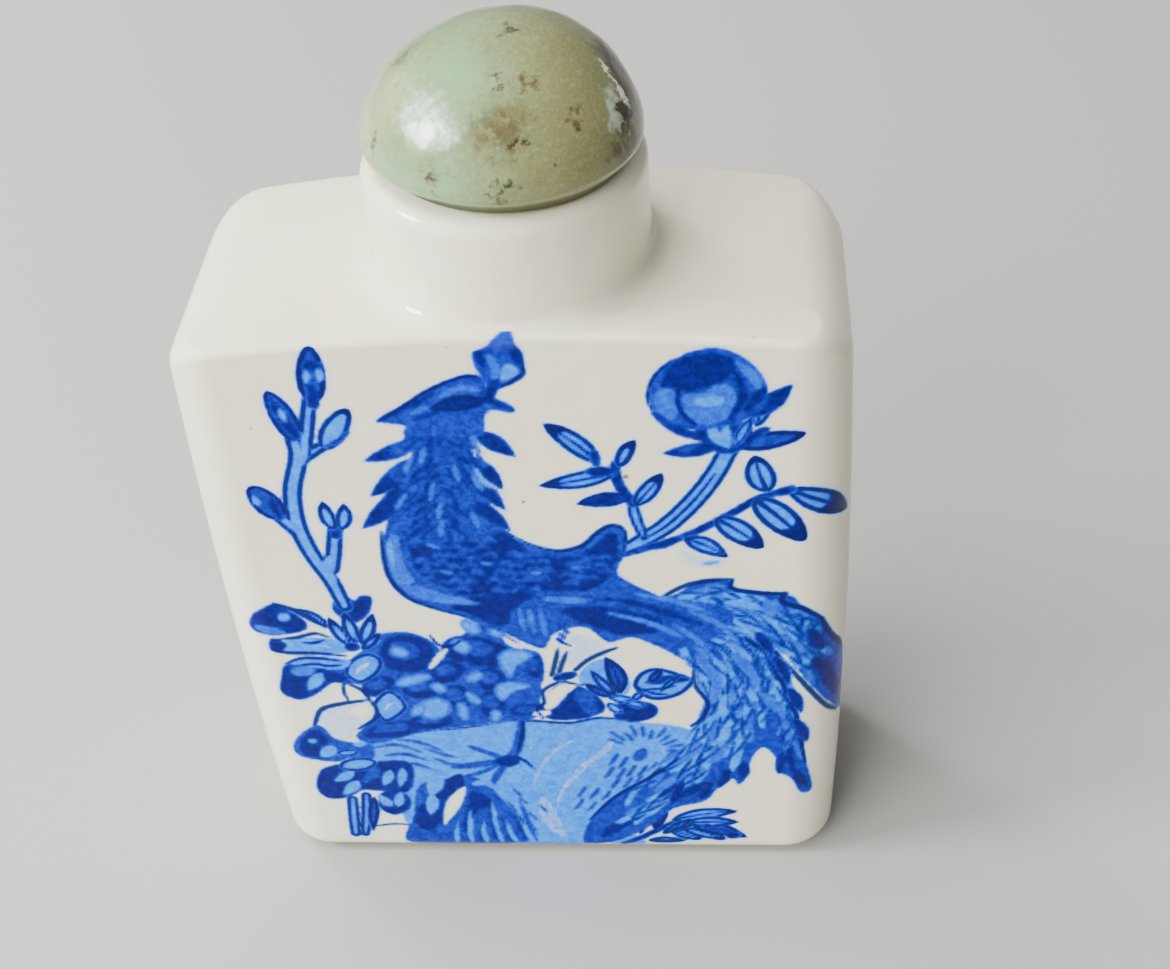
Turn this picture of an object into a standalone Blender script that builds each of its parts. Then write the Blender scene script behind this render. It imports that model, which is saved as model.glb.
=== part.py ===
"""A small porcelain snuff bottle, flat and rectangular, with a polished stone for its stopper.

Metres, +Z up. The bottle stands on its foot with the origin under the middle of the body,
its wide painted face towards -Y and its narrow sides towards +X and -X.
"""

import math

import bmesh
import bpy
from mathutils import Matrix, Vector

MM = 0.001

# Driving dimensions of the body, whose wide faces stand a narrow margin proud of the neck
BODY_WIDTH = 45.0 * MM
NECK_MARGIN = 0.5 * MM
SHOULDER_HEIGHT = 53.4 * MM
SHOULDER_DROP = 1.8 * MM
CORNER_RADIUS = 4.0 * MM
FACE_EDGE_RADIUS = 0.55 * MM
SIDE_EDGE_RADIUS = 3.0 * MM
FOOT_RADIUS = 1.75 * MM
SIDE_BULGE = 0.5 * MM
FACE_BOW = 0.45 * MM

# The hollow inside and the sunk base
WALL = 2.4 * MM
FLOOR = 2.8 * MM
INNER_CORNER_RADIUS = 3.0 * MM
INNER_EDGE_RADIUS = 1.1 * MM
FOOT_RING_WIDTH = 2.0 * MM
BASE_RECESS = 0.7 * MM
RECESS_SLOPE = 0.4 * MM
RECESS_CORNER_RADIUS = 1.4 * MM

# The neck, a little off the middle as it was set by hand
NECK_RADIUS = 9.3 * MM
NECK_RISE = 7.4 * MM
NECK_OFFSET = 0.25 * MM
NECK_FILLET = 1.3 * MM
LIP_RADIUS = 1.1 * MM
BORE_RADIUS = 5.5 * MM
MOUTH_EDGE_RADIUS = 0.5 * MM

# The stone, an oval pebble cut flat below, with a short plug that drops into the mouth
STONE_LENGTH = 18.8 * MM
STONE_BREADTH = 17.0 * MM
STONE_TURN = math.radians(-34.0)
STONE_GIRDLE_RISE = 1.55 * MM
STONE_CROWN_HEIGHT = 7.1 * MM
STONE_OFFSET = Vector((0.1 * MM, -0.65 * MM))
CROWN_LEAN = Vector((1.1 * MM, 0.2 * MM))
CROWN_POWER = 1.67
GIRDLE_TILT = 0.03
UNDERCUT = 0.10
SEAT_EDGE = 0.04
CROWN_TIP = 0.02
FACET_NORMAL = Vector((0.83, 0.05, 0.55)).normalized()
FACET_DEPTH = 0.45 * MM
PLUG_LENGTH = 2.5 * MM
PLUG_CHAMFER = 0.4 * MM

# Clearances between the stone and the neck
SEAT_GAP = 0.3 * MM
PLUG_CLEARANCE = 0.35 * MM

# The most of its room that a fillet may take, and how far the worn facet is cut back to its flat
FILLET_SHARE = 0.8
FACET_WEAR = 0.8

# How finely the curves are cut
CORNER_POINT_COUNT = 7
FACE_POINT_COUNT = 13
SIDE_POINT_COUNT = 5
ROUND_STEPS = 5
SMALL_ROUND_STEPS = 3
WALL_LEVELS = 7
SHOULDER_RINGS = 4
STONE_SEGMENTS = 40
CROWN_RINGS = 11

# Sizes and heights that follow from those above
BODY_DEPTH = 2.0 * (NECK_RADIUS + NECK_MARGIN)
RIM_HEIGHT = SHOULDER_HEIGHT + NECK_RISE
FLOOR_HEIGHT = BASE_RECESS + FLOOR
FOOT_EDGE_RADIUS = min(FOOT_RADIUS, FILLET_SHARE * CORNER_RADIUS)
SEAT_HEIGHT = RIM_HEIGHT + SEAT_GAP
GIRDLE_HEIGHT = SEAT_HEIGHT + STONE_GIRDLE_RISE
PLUG_RADIUS = BORE_RADIUS - PLUG_CLEARANCE
NECK_CENTRE = Vector((NECK_OFFSET, 0.0))


def clear_scene():
    """Removes every object that the file holds."""
    for obj in list(bpy.data.objects):
        bpy.data.objects.remove(obj)


def make_material(name, colour, roughness):
    """Returns a plain finish with this colour and roughness."""
    material = bpy.data.materials.new(name)
    material.use_nodes = True
    shader = material.node_tree.nodes["Principled BSDF"]
    shader.inputs["Base Color"].default_value = (*colour, 1.0)
    shader.inputs["Roughness"].default_value = roughness
    shader.inputs["Metallic"].default_value = 0.0
    return material


def steps(count):
    """Returns count + 1 shares that run evenly from 0 to 1."""
    return [i / count for i in range(count + 1)]


def quarter(share):
    """Returns the sine and cosine at this share of a quarter turn."""
    angle = 0.5 * math.pi * share
    return math.sin(angle), math.cos(angle)


def shoulder_height(x):
    """Returns the height of the crowned shoulder this far along the body."""
    return SHOULDER_HEIGHT - SHOULDER_DROP * (2.0 * x / BODY_WIDTH) ** 2


def edge_radius(normal):
    """Returns the shoulder's edge radius, crisp on the wide faces and soft at the sides."""
    radius = FACE_EDGE_RADIUS + (SIDE_EDGE_RADIUS - FACE_EDGE_RADIUS) * normal.x**2
    return min(radius, FILLET_SHARE * CORNER_RADIUS)


def inner_edge_radius(_normal):
    """Returns the radius that rounds the hollow's floor and ceiling into its walls."""
    room = 0.5 * BODY_DEPTH - WALL - BORE_RADIUS
    return min(INNER_EDGE_RADIUS, FILLET_SHARE * room, FILLET_SHARE * INNER_CORNER_RADIUS)


def rounded_rectangle(half_width, half_depth, radius):
    """Returns a rounded rectangle as (point, outward normal) pairs, anticlockwise from the +X side.

    On its straight stretches the points lie at even angles about the middle, as a circle's do.
    """
    wide, deep = half_width - radius, half_depth - radius
    centres = [Vector(c) for c in ((wide, deep), (-wide, deep), (-wide, -deep), (wide, -deep))]
    outline = []
    for index, centre in enumerate(centres):
        for share in steps(CORNER_POINT_COUNT - 1):
            angle = 0.5 * math.pi * (index + share)
            normal = Vector((math.cos(angle), math.sin(angle)))
            outline.append((centre + radius * normal, normal))
        start = outline[-1][0]
        end = centres[(index + 1) % 4] + radius * normal
        between = SIDE_POINT_COUNT if index % 2 else FACE_POINT_COUNT
        for share in steps(between + 1)[1:-1]:
            way = Matrix.Rotation(share * start.angle(end), 2) @ start.normalized()
            outline.append((way * start.dot(normal) / way.dot(normal), normal))
    middle = SIDE_POINT_COUNT // 2 + 1
    return outline[-middle:] + outline[:-middle]


def body_outline(height, thickness, radius):
    """Returns the body's outline at a height, this far inside its outer face, with its normals."""
    share = height / SHOULDER_HEIGHT
    swell = 4.0 * SIDE_BULGE * share * (1.0 - share)
    half_width = 0.5 * BODY_WIDTH + swell - thickness
    half_depth = 0.5 * BODY_DEPTH - thickness
    outline = []
    for point, normal in rounded_rectangle(half_width, half_depth, radius):
        bow = FACE_BOW * share * (1.0 - (point.x / half_width) ** 2)
        outline.append((point + Vector((0.0, bow * normal.y)), normal))
    return outline


def neck_circle(outline, radius):
    """Returns a circle about the neck's axis, with a point in the direction of each of an outline's."""
    return [NECK_CENTRE + radius * point.xy.normalized() for point in outline]


def move_ring(bm, ring, points):
    """Puts a ring of vertices on these points and returns its edges in order."""
    for vert, point in zip(ring, points):
        vert.co = point
    return [bm.edges.get(pair) for pair in zip(ring, ring[1:] + ring[:1])]


def skin(bm, loops):
    """Extrudes a ring of edges through all the loops in turn and caps both ends."""
    first = bmesh.ops.create_circle(bm, cap_ends=False, segments=len(loops[0]), radius=BORE_RADIUS)
    ring = first["verts"]
    edges = move_ring(bm, ring, loops[0])
    bmesh.ops.contextual_create(bm, geom=edges)
    for points in loops[1:]:
        made = bmesh.ops.extrude_edge_only(bm, edges=edges)["geom"]
        fresh = {item for item in made if isinstance(item, bmesh.types.BMVert)}
        ring = [next(e.other_vert(v) for e in v.link_edges if e.other_vert(v) in fresh) for v in ring]
        edges = move_ring(bm, ring, points)
    bmesh.ops.contextual_create(bm, geom=edges)


def raised(points, height):
    """Returns plan points at one height."""
    return [Vector((point.x, point.y, height)) for point in points]


def inset(outline, distance):
    """Returns an outline's points moved in along their normals."""
    return [point - normal * distance for point, normal in outline]


def foot_loops():
    """Returns the loops of the sunk base, the foot ring and the round above it."""
    ring = FOOT_EDGE_RADIUS + FOOT_RING_WIDTH
    loops = []
    for thickness, height in ((ring + RECESS_SLOPE, BASE_RECESS), (ring, 0.0)):
        outline = body_outline(0.0, thickness, RECESS_CORNER_RADIUS)
        loops.append(raised([point for point, _ in outline], height))
    for share in steps(ROUND_STEPS):
        rise, reach = quarter(share)
        height = FOOT_EDGE_RADIUS * (1.0 - reach)
        outline = body_outline(height, 0.0, CORNER_RADIUS)
        loops.append(raised(inset(outline, FOOT_EDGE_RADIUS * (1.0 - rise)), height))
    return loops


def wall_loops(thickness, corner, low, round_of, levels):
    """Returns loops up a wall, from a level height to where the round under the shoulder starts."""
    loops = []
    for share in levels:
        height = low + share * (SHOULDER_HEIGHT - SHOULDER_DROP - low)
        loop = []
        for point, normal in body_outline(height, thickness, corner):
            top = shoulder_height(point.x) - thickness - round_of(normal)
            loop.append(Vector((*point, low + share * (top - low))))
        loops.append(loop)
    return loops


def edge_loops(thickness, corner, round_of):
    """Returns the loops that round a wall over into the shoulder, from the wall inwards."""
    outline = body_outline(SHOULDER_HEIGHT - SHOULDER_DROP, thickness, corner)
    loops = []
    for share in steps(ROUND_STEPS)[1:]:
        rise, reach = quarter(share)
        loop = []
        for point, normal in outline:
            radius = round_of(normal)
            place = point - normal * radius * (1.0 - reach)
            height = shoulder_height(place.x) - thickness - radius * (1.0 - rise)
            loop.append(Vector((*place, height)))
        loops.append(loop)
    return loops


def shoulder_loops(edge, circle, thickness):
    """Returns the loops across the shoulder, from its rounded edge in to a circle."""
    loops = []
    for share in steps(SHOULDER_RINGS)[1:]:
        loop = []
        for outer, inner in zip(edge, circle):
            place = outer.xy.lerp(inner, share)
            loop.append(Vector((*place, shoulder_height(place.x) - thickness)))
        loops.append(loop)
    return loops


def neck_fillets(edge):
    """Returns the fillet at each point of the neck's foot, smaller where the shoulder is narrow."""
    fillets = []
    for outer, foot in zip(edge, neck_circle(edge, NECK_RADIUS)):
        room = (outer.xy - foot).length
        fillets.append(min(NECK_FILLET, FILLET_SHARE * room))
    return fillets


def neck_loops(edge, fillets):
    """Returns the loops of the fillet, the neck's outside, its lip and the edge of its mouth."""
    ways = neck_circle(edge, 1.0)
    loops = []
    for share in steps(ROUND_STEPS)[1:]:
        rise, reach = quarter(share)
        loop = []
        for way, fillet in zip(ways, fillets):
            radius = NECK_RADIUS + fillet * (1.0 - rise)
            place = NECK_CENTRE + radius * (way - NECK_CENTRE)
            loop.append(Vector((*place, shoulder_height(place.x) + fillet * (1.0 - reach))))
        loops.append(loop)
    for share in steps(ROUND_STEPS):
        rise, reach = quarter(share)
        ring = neck_circle(edge, NECK_RADIUS - LIP_RADIUS * (1.0 - reach))
        loops.append(raised(ring, RIM_HEIGHT - LIP_RADIUS * (1.0 - rise)))
    for share in steps(SMALL_ROUND_STEPS):
        rise, reach = quarter(share)
        ring = neck_circle(edge, BORE_RADIUS + MOUTH_EDGE_RADIUS * (1.0 - rise))
        loops.append(raised(ring, RIM_HEIGHT - MOUTH_EDGE_RADIUS * (1.0 - reach)))
    return loops


def outer_loops():
    """Returns the loops from under the foot up the outside and over the lip."""
    loops = foot_loops()
    loops += wall_loops(0.0, CORNER_RADIUS, FOOT_EDGE_RADIUS, edge_radius, steps(WALL_LEVELS)[1:])
    loops += edge_loops(0.0, CORNER_RADIUS, edge_radius)
    edge = loops[-1]
    fillets = neck_fillets(edge)
    ways = neck_circle(edge, 1.0)
    foot_of_neck = [
        NECK_CENTRE + (NECK_RADIUS + fillet) * (way - NECK_CENTRE) for way, fillet in zip(ways, fillets)
    ]
    loops += shoulder_loops(edge, foot_of_neck, 0.0)
    return loops + neck_loops(edge, fillets)


def inner_loops():
    """Returns the loops from the bore's lower end across the ceiling, down the walls and to the floor."""
    edges = edge_loops(WALL, INNER_CORNER_RADIUS, inner_edge_radius)
    bore = neck_circle(edges[-1], BORE_RADIUS)
    loops = shoulder_loops(edges[-1], bore, WALL)[::-1] + edges[::-1]
    radius = inner_edge_radius(None)
    low = FLOOR_HEIGHT + radius
    loops += wall_loops(WALL, INNER_CORNER_RADIUS, low, inner_edge_radius, steps(WALL_LEVELS)[::-1])
    for share in steps(ROUND_STEPS)[-2::-1]:
        rise, reach = quarter(share)
        height = FLOOR_HEIGHT + radius * (1.0 - reach)
        outline = body_outline(height, WALL, INNER_CORNER_RADIUS)
        loops.append(raised(inset(outline, radius * (1.0 - rise)), height))
    return loops


def build_bottle():
    """Builds the hollow bottle as one closed skin, from under its foot, over the lip and down inside."""
    porcelain = make_material("glazed_porcelain", (0.80, 0.77, 0.72), 0.12)
    return make_solid("bottle", outer_loops() + inner_loops(), porcelain)


def stone_profile():
    """Returns the stone's profile as (share of the girdle's radius, height), from the crown's tip down."""
    profile = []
    for share in steps(CROWN_RINGS)[:-1]:
        rise = quarter(1.0 - share)[0]
        profile.append((math.sqrt(1.0 - rise**CROWN_POWER), GIRDLE_HEIGHT + STONE_CROWN_HEIGHT * rise))
    edge = STONE_GIRDLE_RISE * SEAT_EDGE / UNDERCUT
    for share in steps(SMALL_ROUND_STEPS):
        drop = share * (STONE_GIRDLE_RISE - edge)
        profile.append((1.0 - UNDERCUT * share**2, GIRDLE_HEIGHT - drop))
    profile.append((1.0 - UNDERCUT - SEAT_EDGE, SEAT_HEIGHT))
    return profile


def shape_stone(point):
    """Returns a point of a round dome moved to where the worn oval pebble has it."""
    rise = max(0.0, (point.z - GIRDLE_HEIGHT) / STONE_CROWN_HEIGHT)
    above_seat = min(1.0, (point.z - SEAT_HEIGHT) / STONE_GIRDLE_RISE)
    oval = Vector((point.x * STONE_LENGTH, point.y * STONE_BREADTH)) * 0.5
    plan = Matrix.Rotation(STONE_TURN, 2) @ oval
    tilt = GIRDLE_TILT * plan.x * max(0.0, above_seat)
    plan += NECK_CENTRE + STONE_OFFSET + CROWN_LEAN * rise**2
    shaped = Vector((*plan, point.z + tilt))
    middle = Vector((*(NECK_CENTRE + STONE_OFFSET), GIRDLE_HEIGHT))
    reach = 0.25 * (STONE_LENGTH + STONE_BREADTH) - FACET_DEPTH
    proud = (shaped - middle).dot(FACET_NORMAL) - reach
    if proud > 0.0:
        shaped -= FACET_WEAR * proud * FACET_NORMAL
    return shaped


def build_stopper():
    """Builds the stone as one solid with the short plug under its seat."""
    turns = [math.tau * i / STONE_SEGMENTS for i in range(STONE_SEGMENTS)]
    loops = []
    for share, height in stone_profile():
        size = max(share, CROWN_TIP)
        ring = [Vector((size * math.cos(a), size * math.sin(a), height)) for a in turns]
        loops.append([shape_stone(point) for point in ring])
    plug = (
        (PLUG_RADIUS, SEAT_HEIGHT),
        (PLUG_RADIUS, SEAT_HEIGHT - PLUG_LENGTH + PLUG_CHAMFER),
        (PLUG_RADIUS - PLUG_CHAMFER, SEAT_HEIGHT - PLUG_LENGTH),
    )
    for radius, height in plug:
        ways = [Matrix.Rotation(a + STONE_TURN, 2) @ Vector((radius, 0.0)) for a in turns]
        loops.append(raised([NECK_CENTRE + way for way in ways], height))
    return make_solid("stopper", loops, make_material("polished_jade", (0.42, 0.47, 0.33), 0.16))


def make_solid(name, loops, material):
    """Returns an object made by skinning these loops, with its faces turned outwards."""
    mesh = bpy.data.meshes.new(name)
    bm = bmesh.new()
    skin(bm, loops)
    bmesh.ops.recalc_face_normals(bm, faces=bm.faces)
    bm.to_mesh(mesh)
    bm.free()
    mesh.shade_smooth()
    mesh.set_sharp_from_angle(angle=math.radians(50.0))
    obj = bpy.data.objects.new(name, mesh)
    obj.data.materials.append(material)
    bpy.context.scene.collection.objects.link(obj)
    return obj


clear_scene()
build_bottle()
build_stopper()
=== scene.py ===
"""Looks of a small blue and white porcelain snuff bottle with a polished stone for its stopper.

The bottle and the stone take their form from the same sizes as the solids that they stand for.
The picture under the glaze is painted on the bottle's vertices, stroke by stroke, as the distance
to the edge of each wash, and the porcelain's material turns these distances into soft blue.
Sizes are in millimetres until a mesh is finished, and the picture's in tenths of a millimetre.
"""

import logging
import math
from dataclasses import dataclass, field
from enum import Enum

import bmesh
import bpy
import numpy as np
from mathutils import Matrix, Vector


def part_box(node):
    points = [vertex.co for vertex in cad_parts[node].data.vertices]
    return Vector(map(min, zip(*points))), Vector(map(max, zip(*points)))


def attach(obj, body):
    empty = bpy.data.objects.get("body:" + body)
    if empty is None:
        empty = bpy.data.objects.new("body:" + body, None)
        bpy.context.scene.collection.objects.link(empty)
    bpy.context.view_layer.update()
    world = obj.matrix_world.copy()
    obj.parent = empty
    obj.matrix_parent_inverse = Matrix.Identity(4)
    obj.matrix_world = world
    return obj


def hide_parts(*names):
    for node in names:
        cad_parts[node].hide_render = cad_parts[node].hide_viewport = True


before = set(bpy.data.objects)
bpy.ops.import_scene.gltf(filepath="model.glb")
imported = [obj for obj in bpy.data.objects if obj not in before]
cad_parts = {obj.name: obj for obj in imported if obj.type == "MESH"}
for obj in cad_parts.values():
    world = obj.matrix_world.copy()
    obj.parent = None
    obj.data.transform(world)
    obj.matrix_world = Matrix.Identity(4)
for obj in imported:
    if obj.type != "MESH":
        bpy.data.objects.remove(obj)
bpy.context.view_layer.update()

LOG = logging.getLogger("snuff_bottle")
MM = 0.001
QUARTER = 0.5 * math.pi
# The picture's unit, in millimetres.
TENTH = 0.1
# The run of a vertex that isn't on the outer skin.
ELSEWHERE = 9.0
# The greatest distance that a layer of the picture holds.
FAR = 8.0
WASHES = ("wash", "soft", "mid", "deep")
# How far outside its own edge the inside of a faint wash counts.
FAINTNESS = 0.6

Point = tuple[float, float]
Colour = tuple[float, float, float]
Place = tuple[float, float, float]
Socket = bpy.types.NodeSocket
Value = Socket | float
Shade = Socket | Colour


class Tone(Enum):
    """How much blue a brush leaves on the glaze."""

    BARE = 0
    FAINT = 0.5
    PALE = 1
    SOFT = 2
    MID = 3
    DEEP = 4


BARE, FAINT, PALE, SOFT, MID, DEEP = Tone


class Run(Enum):
    """The part of the bottle's outline that a vertex of the outer skin stands on."""

    FRONT = 1
    SIDE = 0
    BACK = -1


def smooth_path(points: list[Point], closed: bool = False, per: int = 6) -> np.ndarray:
    """Runs a smooth curve through points.

    Args:
        points: The places that the curve passes through.
        closed: Whether it runs back to its start.
        per: How many samples each stretch gets.

    Returns:
        The samples, one row each.
    """
    knots = np.array(points, float)
    if closed:
        knots = np.vstack([knots[-1:], knots, knots[:2]])
    else:
        knots = np.vstack([2 * knots[:1] - knots[1:2], knots, 2 * knots[-1:] - knots[-2:-1]])
    before, start, end, after = knots[:-3], knots[1:-2], knots[2:-1], knots[3:]
    t = (np.arange(per) / per)[None, :, None]
    before, start, end, after = (k[:, None, :] for k in (before, start, end, after))
    curve = 0.5 * (
        2 * start
        + (end - before) * t
        + (2 * before - 5 * start + 4 * end - after) * t**2
        + (3 * start - before - 3 * end + after) * t**3
    )
    samples = curve.reshape(-1, 2)
    return samples if closed else np.vstack([samples, knots[-2:-1]])


def path_distance(places: np.ndarray, path: np.ndarray, half: np.ndarray) -> np.ndarray:
    """Measures how far places lie outside a stroke.

    Args:
        places: The places to measure from, one row each.
        path: The samples of the stroke's middle line.
        half: The stroke's half width at each sample.

    Returns:
        The distance of each place, below zero inside the stroke.
    """
    start, way = path[:-1], np.diff(path, axis=0)
    length = (way**2).sum(1) + 1e-9
    best = np.full(len(places), np.inf)
    for a, d, size, low, high in zip(start, way, length, half[:-1], half[1:]):
        t = np.clip((places - a) @ d / size, 0.0, 1.0)
        gap = np.hypot(*(places - a - t[:, None] * d).T) - (low + (high - low) * t)
        np.minimum(best, gap, out=best)
    return best


def ring_distance(places: np.ndarray, ring: np.ndarray) -> np.ndarray:
    """Measures how far places lie outside a closed shape.

    Args:
        places: The places to measure from, one row each.
        ring: The corners of the shape in order.

    Returns:
        The distance of each place, below zero inside the shape.
    """
    closed = np.vstack([ring, ring[:1]])
    distance = path_distance(places, closed, np.zeros(len(closed)))
    inside = np.zeros(len(places), bool)
    for (ax, ay), (bx, by) in zip(closed[:-1], closed[1:]):
        crossed = (ay > places[:, 1]) != (by > places[:, 1])
        if by != ay:
            inside ^= crossed & (places[:, 0] < ax + (places[:, 1] - ay) * (bx - ax) / (by - ay))
    return np.where(inside, -distance, distance)


@dataclass
class Canvas:
    """A face of the bottle laid out flat, with the edge of each wash kept as a distance.

    All its lengths are in tenths of a millimetre.
    """

    places: np.ndarray
    layers: dict[str, np.ndarray] = field(init=False)

    def __post_init__(self) -> None:
        """Starts every layer bare."""
        self.layers = {name: np.full(len(self.places), FAR) for name in (*WASHES, "line", "speck")}

    def near(self, points: np.ndarray, reach: float) -> np.ndarray:
        """Returns the numbers of the places within reach of the box around some points."""
        low, high = points.min(0) - reach, points.max(0) + reach
        return np.flatnonzero(((self.places > low) & (self.places < high)).all(1))

    def lay(self, index: np.ndarray, distance: np.ndarray, tone: Tone) -> None:
        """Paints over what was there.

        Args:
            index: The numbers of the places that the brush may reach.
            distance: How far each of them lies outside the brush's shape.
            tone: How much blue the shape gets.
        """
        for rank, name in enumerate(WASHES, start=1):
            layer = self.layers[name]
            if rank <= tone.value:
                layer[index] = np.minimum(layer[index], distance)
            else:
                layer[index] = np.maximum(layer[index], -distance)
        self.layers["line"][index] = np.maximum(self.layers["line"][index], -distance)
        if tone is FAINT:
            wash = self.layers["wash"]
            wash[index] = np.minimum(wash[index], np.maximum(distance, 0.0) + FAINTNESS)

    def mark(self, name: str, index: np.ndarray, distance: np.ndarray) -> None:
        """Adds a shape to one layer and leaves the others as they are.

        Args:
            name: The layer.
            index: The numbers of the places that the shape may reach.
            distance: How far each lies outside it.
        """
        layer = self.layers[name]
        layer[index] = np.minimum(layer[index], distance)


@dataclass
class Brush:
    """A loaded brush over one canvas, with lengths in tenths of a millimetre."""

    canvas: Canvas

    def line(self, points: list[Point], width: float = 3.0, taper: Point = (0.5, 0.5)) -> None:
        """Draws a dark line with the tip of the brush.

        Args:
            points: The places that it runs through.
            width: Its greatest width.
            taper: The share of that width at its start and at its end.
        """
        path = smooth_path(points)
        index = self.canvas.near(path, 0.5 * width + FAR)
        half = self.swell(len(path), width, taper)
        self.canvas.mark("line", index, path_distance(self.canvas.places[index], path, half))

    def stroke(
        self, points: list[Point], width: float, tone: Tone, taper: Point = (0.6, 0.3), rim: float = 0.0
    ) -> None:
        """Pulls a loaded brush along a curve.

        Args:
            points: The places that the stroke runs through.
            width: Its greatest width.
            tone: How much blue it leaves.
            taper: The share of the width at its start and at its end.
            rim: The width of a dark line along its edge, if it has one.
        """
        path = smooth_path(points)
        index = self.canvas.near(path, 0.5 * width + FAR)
        half = self.swell(len(path), width, taper)
        distance = path_distance(self.canvas.places[index], path, half)
        self.canvas.lay(index, distance, tone)
        self.outline(index, distance, rim)

    def outline(self, index: np.ndarray, distance: np.ndarray, rim: float) -> None:
        """Draws a dark line just inside the edge of a shape, if the rim has a width."""
        if rim:
            self.canvas.mark("line", index, np.abs(distance + 0.5 * rim) - 0.5 * rim)

    @staticmethod
    def swell(count: int, width: float, taper: Point) -> np.ndarray:
        """Returns the half widths of a stroke that swells between its tapered ends."""
        t = np.linspace(0.0, 1.0, count)
        ends = taper[0] + (taper[1] - taper[0]) * t
        return 0.5 * width * (ends + (1.0 - ends) * np.sin(math.pi * t) ** 0.7)

    def shape(self, points: list[Point], tone: Tone, rim: float = 0.0) -> None:
        """Fills a rounded shape.

        Args:
            points: The places that its edge runs through.
            tone: How much blue it gets.
            rim: The width of a dark line along its edge, if it has one.
        """
        ring = smooth_path(points, closed=True, per=5)
        index = self.canvas.near(ring, FAR)
        distance = ring_distance(self.canvas.places[index], ring)
        self.canvas.lay(index, distance, tone)
        self.outline(index, distance, rim)

    def oval(self, middle: Point, size: Point, turn: float, tone: Tone, rim: float = 0.0) -> None:
        """Fills an oval.

        Args:
            middle: Its centre.
            size: Its length and breadth.
            turn: The angle of its length in degrees.
            tone: How much blue it gets.
            rim: The width of a dark line along its edge, if it has one.
        """
        angles = np.linspace(0.0, math.tau, 9)[:-1]
        across, up = 0.5 * size[0] * np.cos(angles), 0.5 * size[1] * np.sin(angles)
        c, s = math.cos(math.radians(turn)), math.sin(math.radians(turn))
        ring = [(middle[0] + c * a - s * b, middle[1] + s * a + c * b) for a, b in zip(across, up)]
        self.shape(ring, tone, rim)

    def leaf(
        self,
        base: Point,
        tip: Point,
        width: float,
        fill: Tone = PALE,
        end: Tone | None = DEEP,
        rim: float = 3.0,
        vein: float = 2.8,
        bend: float = 0.0,
        start: float = 0.62,
        blunt: float = 0.75,
    ) -> None:
        """Paints a leaf, petal, bud or feather as a pointed oval.

        Args:
            base: Where it grows from.
            tip: Its far end.
            width: Its greatest width.
            fill: The tone of its blade.
            end: The tone of its tip, if that differs.
            rim: The width of the dark line along its edge.
            vein: The width of the line down its middle, or nothing.
            bend: How far it bows to the left of the way from base to tip.
            start: The share of its length at which the tip's tone starts.
            blunt: How round its ends are, from 0.5 for very round to 1.2 for sharp.
        """
        low, high = np.array(base, float), np.array(tip, float)
        length = float(np.hypot(*(high - low)))
        way = (high - low) / length
        side = np.array((-way[1], way[0]))
        index = self.canvas.near(np.vstack([low, high]), 0.5 * width + abs(bend) + FAR)
        local = self.canvas.places[index] - low
        t = local @ way / length
        inner = np.clip(t, 0.0, 1.0)
        off = local @ side - 4.0 * bend * inner * (1.0 - inner)
        half = 0.5 * width * np.sin(math.pi * inner**0.85) ** blunt
        distance = np.abs(off) - half
        distance = np.maximum(distance, np.maximum(-t, t - 1.0) * length)
        self.canvas.lay(index, distance, fill)
        if end is not None:
            wave = 0.10 * width * np.cos(7.0 * off / width)
            part = np.maximum(distance, (start - t) * length + wave)
            self.canvas.lay(index, part, end)
        if vein:
            ends = (np.abs(t - 0.45) - 0.4) * length
            gap = np.maximum(np.abs(off) - 0.5 * vein * (1.0 - 0.6 * inner), ends)
            self.canvas.mark("line", index, gap)
        self.outline(index, distance, rim)

    def hatch(self, starts: list[Point], way: Point, width: float = 2.6) -> None:
        """Draws a short tapering stroke from each start along one way.

        Args:
            starts: Where the strokes start.
            way: How far across and up each of them goes.
            width: Their width.
        """
        for x, y in starts:
            middle = (x + 0.5 * way[0] + 0.6, y + 0.5 * way[1])
            self.stroke([(x, y), middle, (x + way[0], y + way[1])], width + 0.8, MID, (0.9, 0.2))

    def thin(self, points: list[Point], width: float, level: float = -0.5) -> None:
        """Wipes a pale wash thinner along a curve, with soft edges.

        Args:
            points: The places that the wiped streak runs through.
            width: Its greatest width.
            level: The value that the wash comes to along its middle.
        """
        path = smooth_path(points)
        index = self.canvas.near(path, 0.5 * width)
        distance = path_distance(self.canvas.places[index], path, self.swell(len(path), width, (0.4, 0.4)))
        wash = self.canvas.layers["wash"]
        wash[index] = np.maximum(wash[index], level - 1.4 * np.maximum(distance + 3.5, 0.0))

    def specks(self, places: list[Place]) -> None:
        """Puts small dark specks in the glaze, each given as its place and size.

        Args:
            places: How far across and up each speck lies, and its size.
        """
        for x, y, size in places:
            middle = np.array([[x, y]])
            index = self.canvas.near(middle, size + FAR)
            self.canvas.mark("speck", index, np.hypot(*(self.canvas.places[index] - middle).T) - 0.5 * size)


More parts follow.
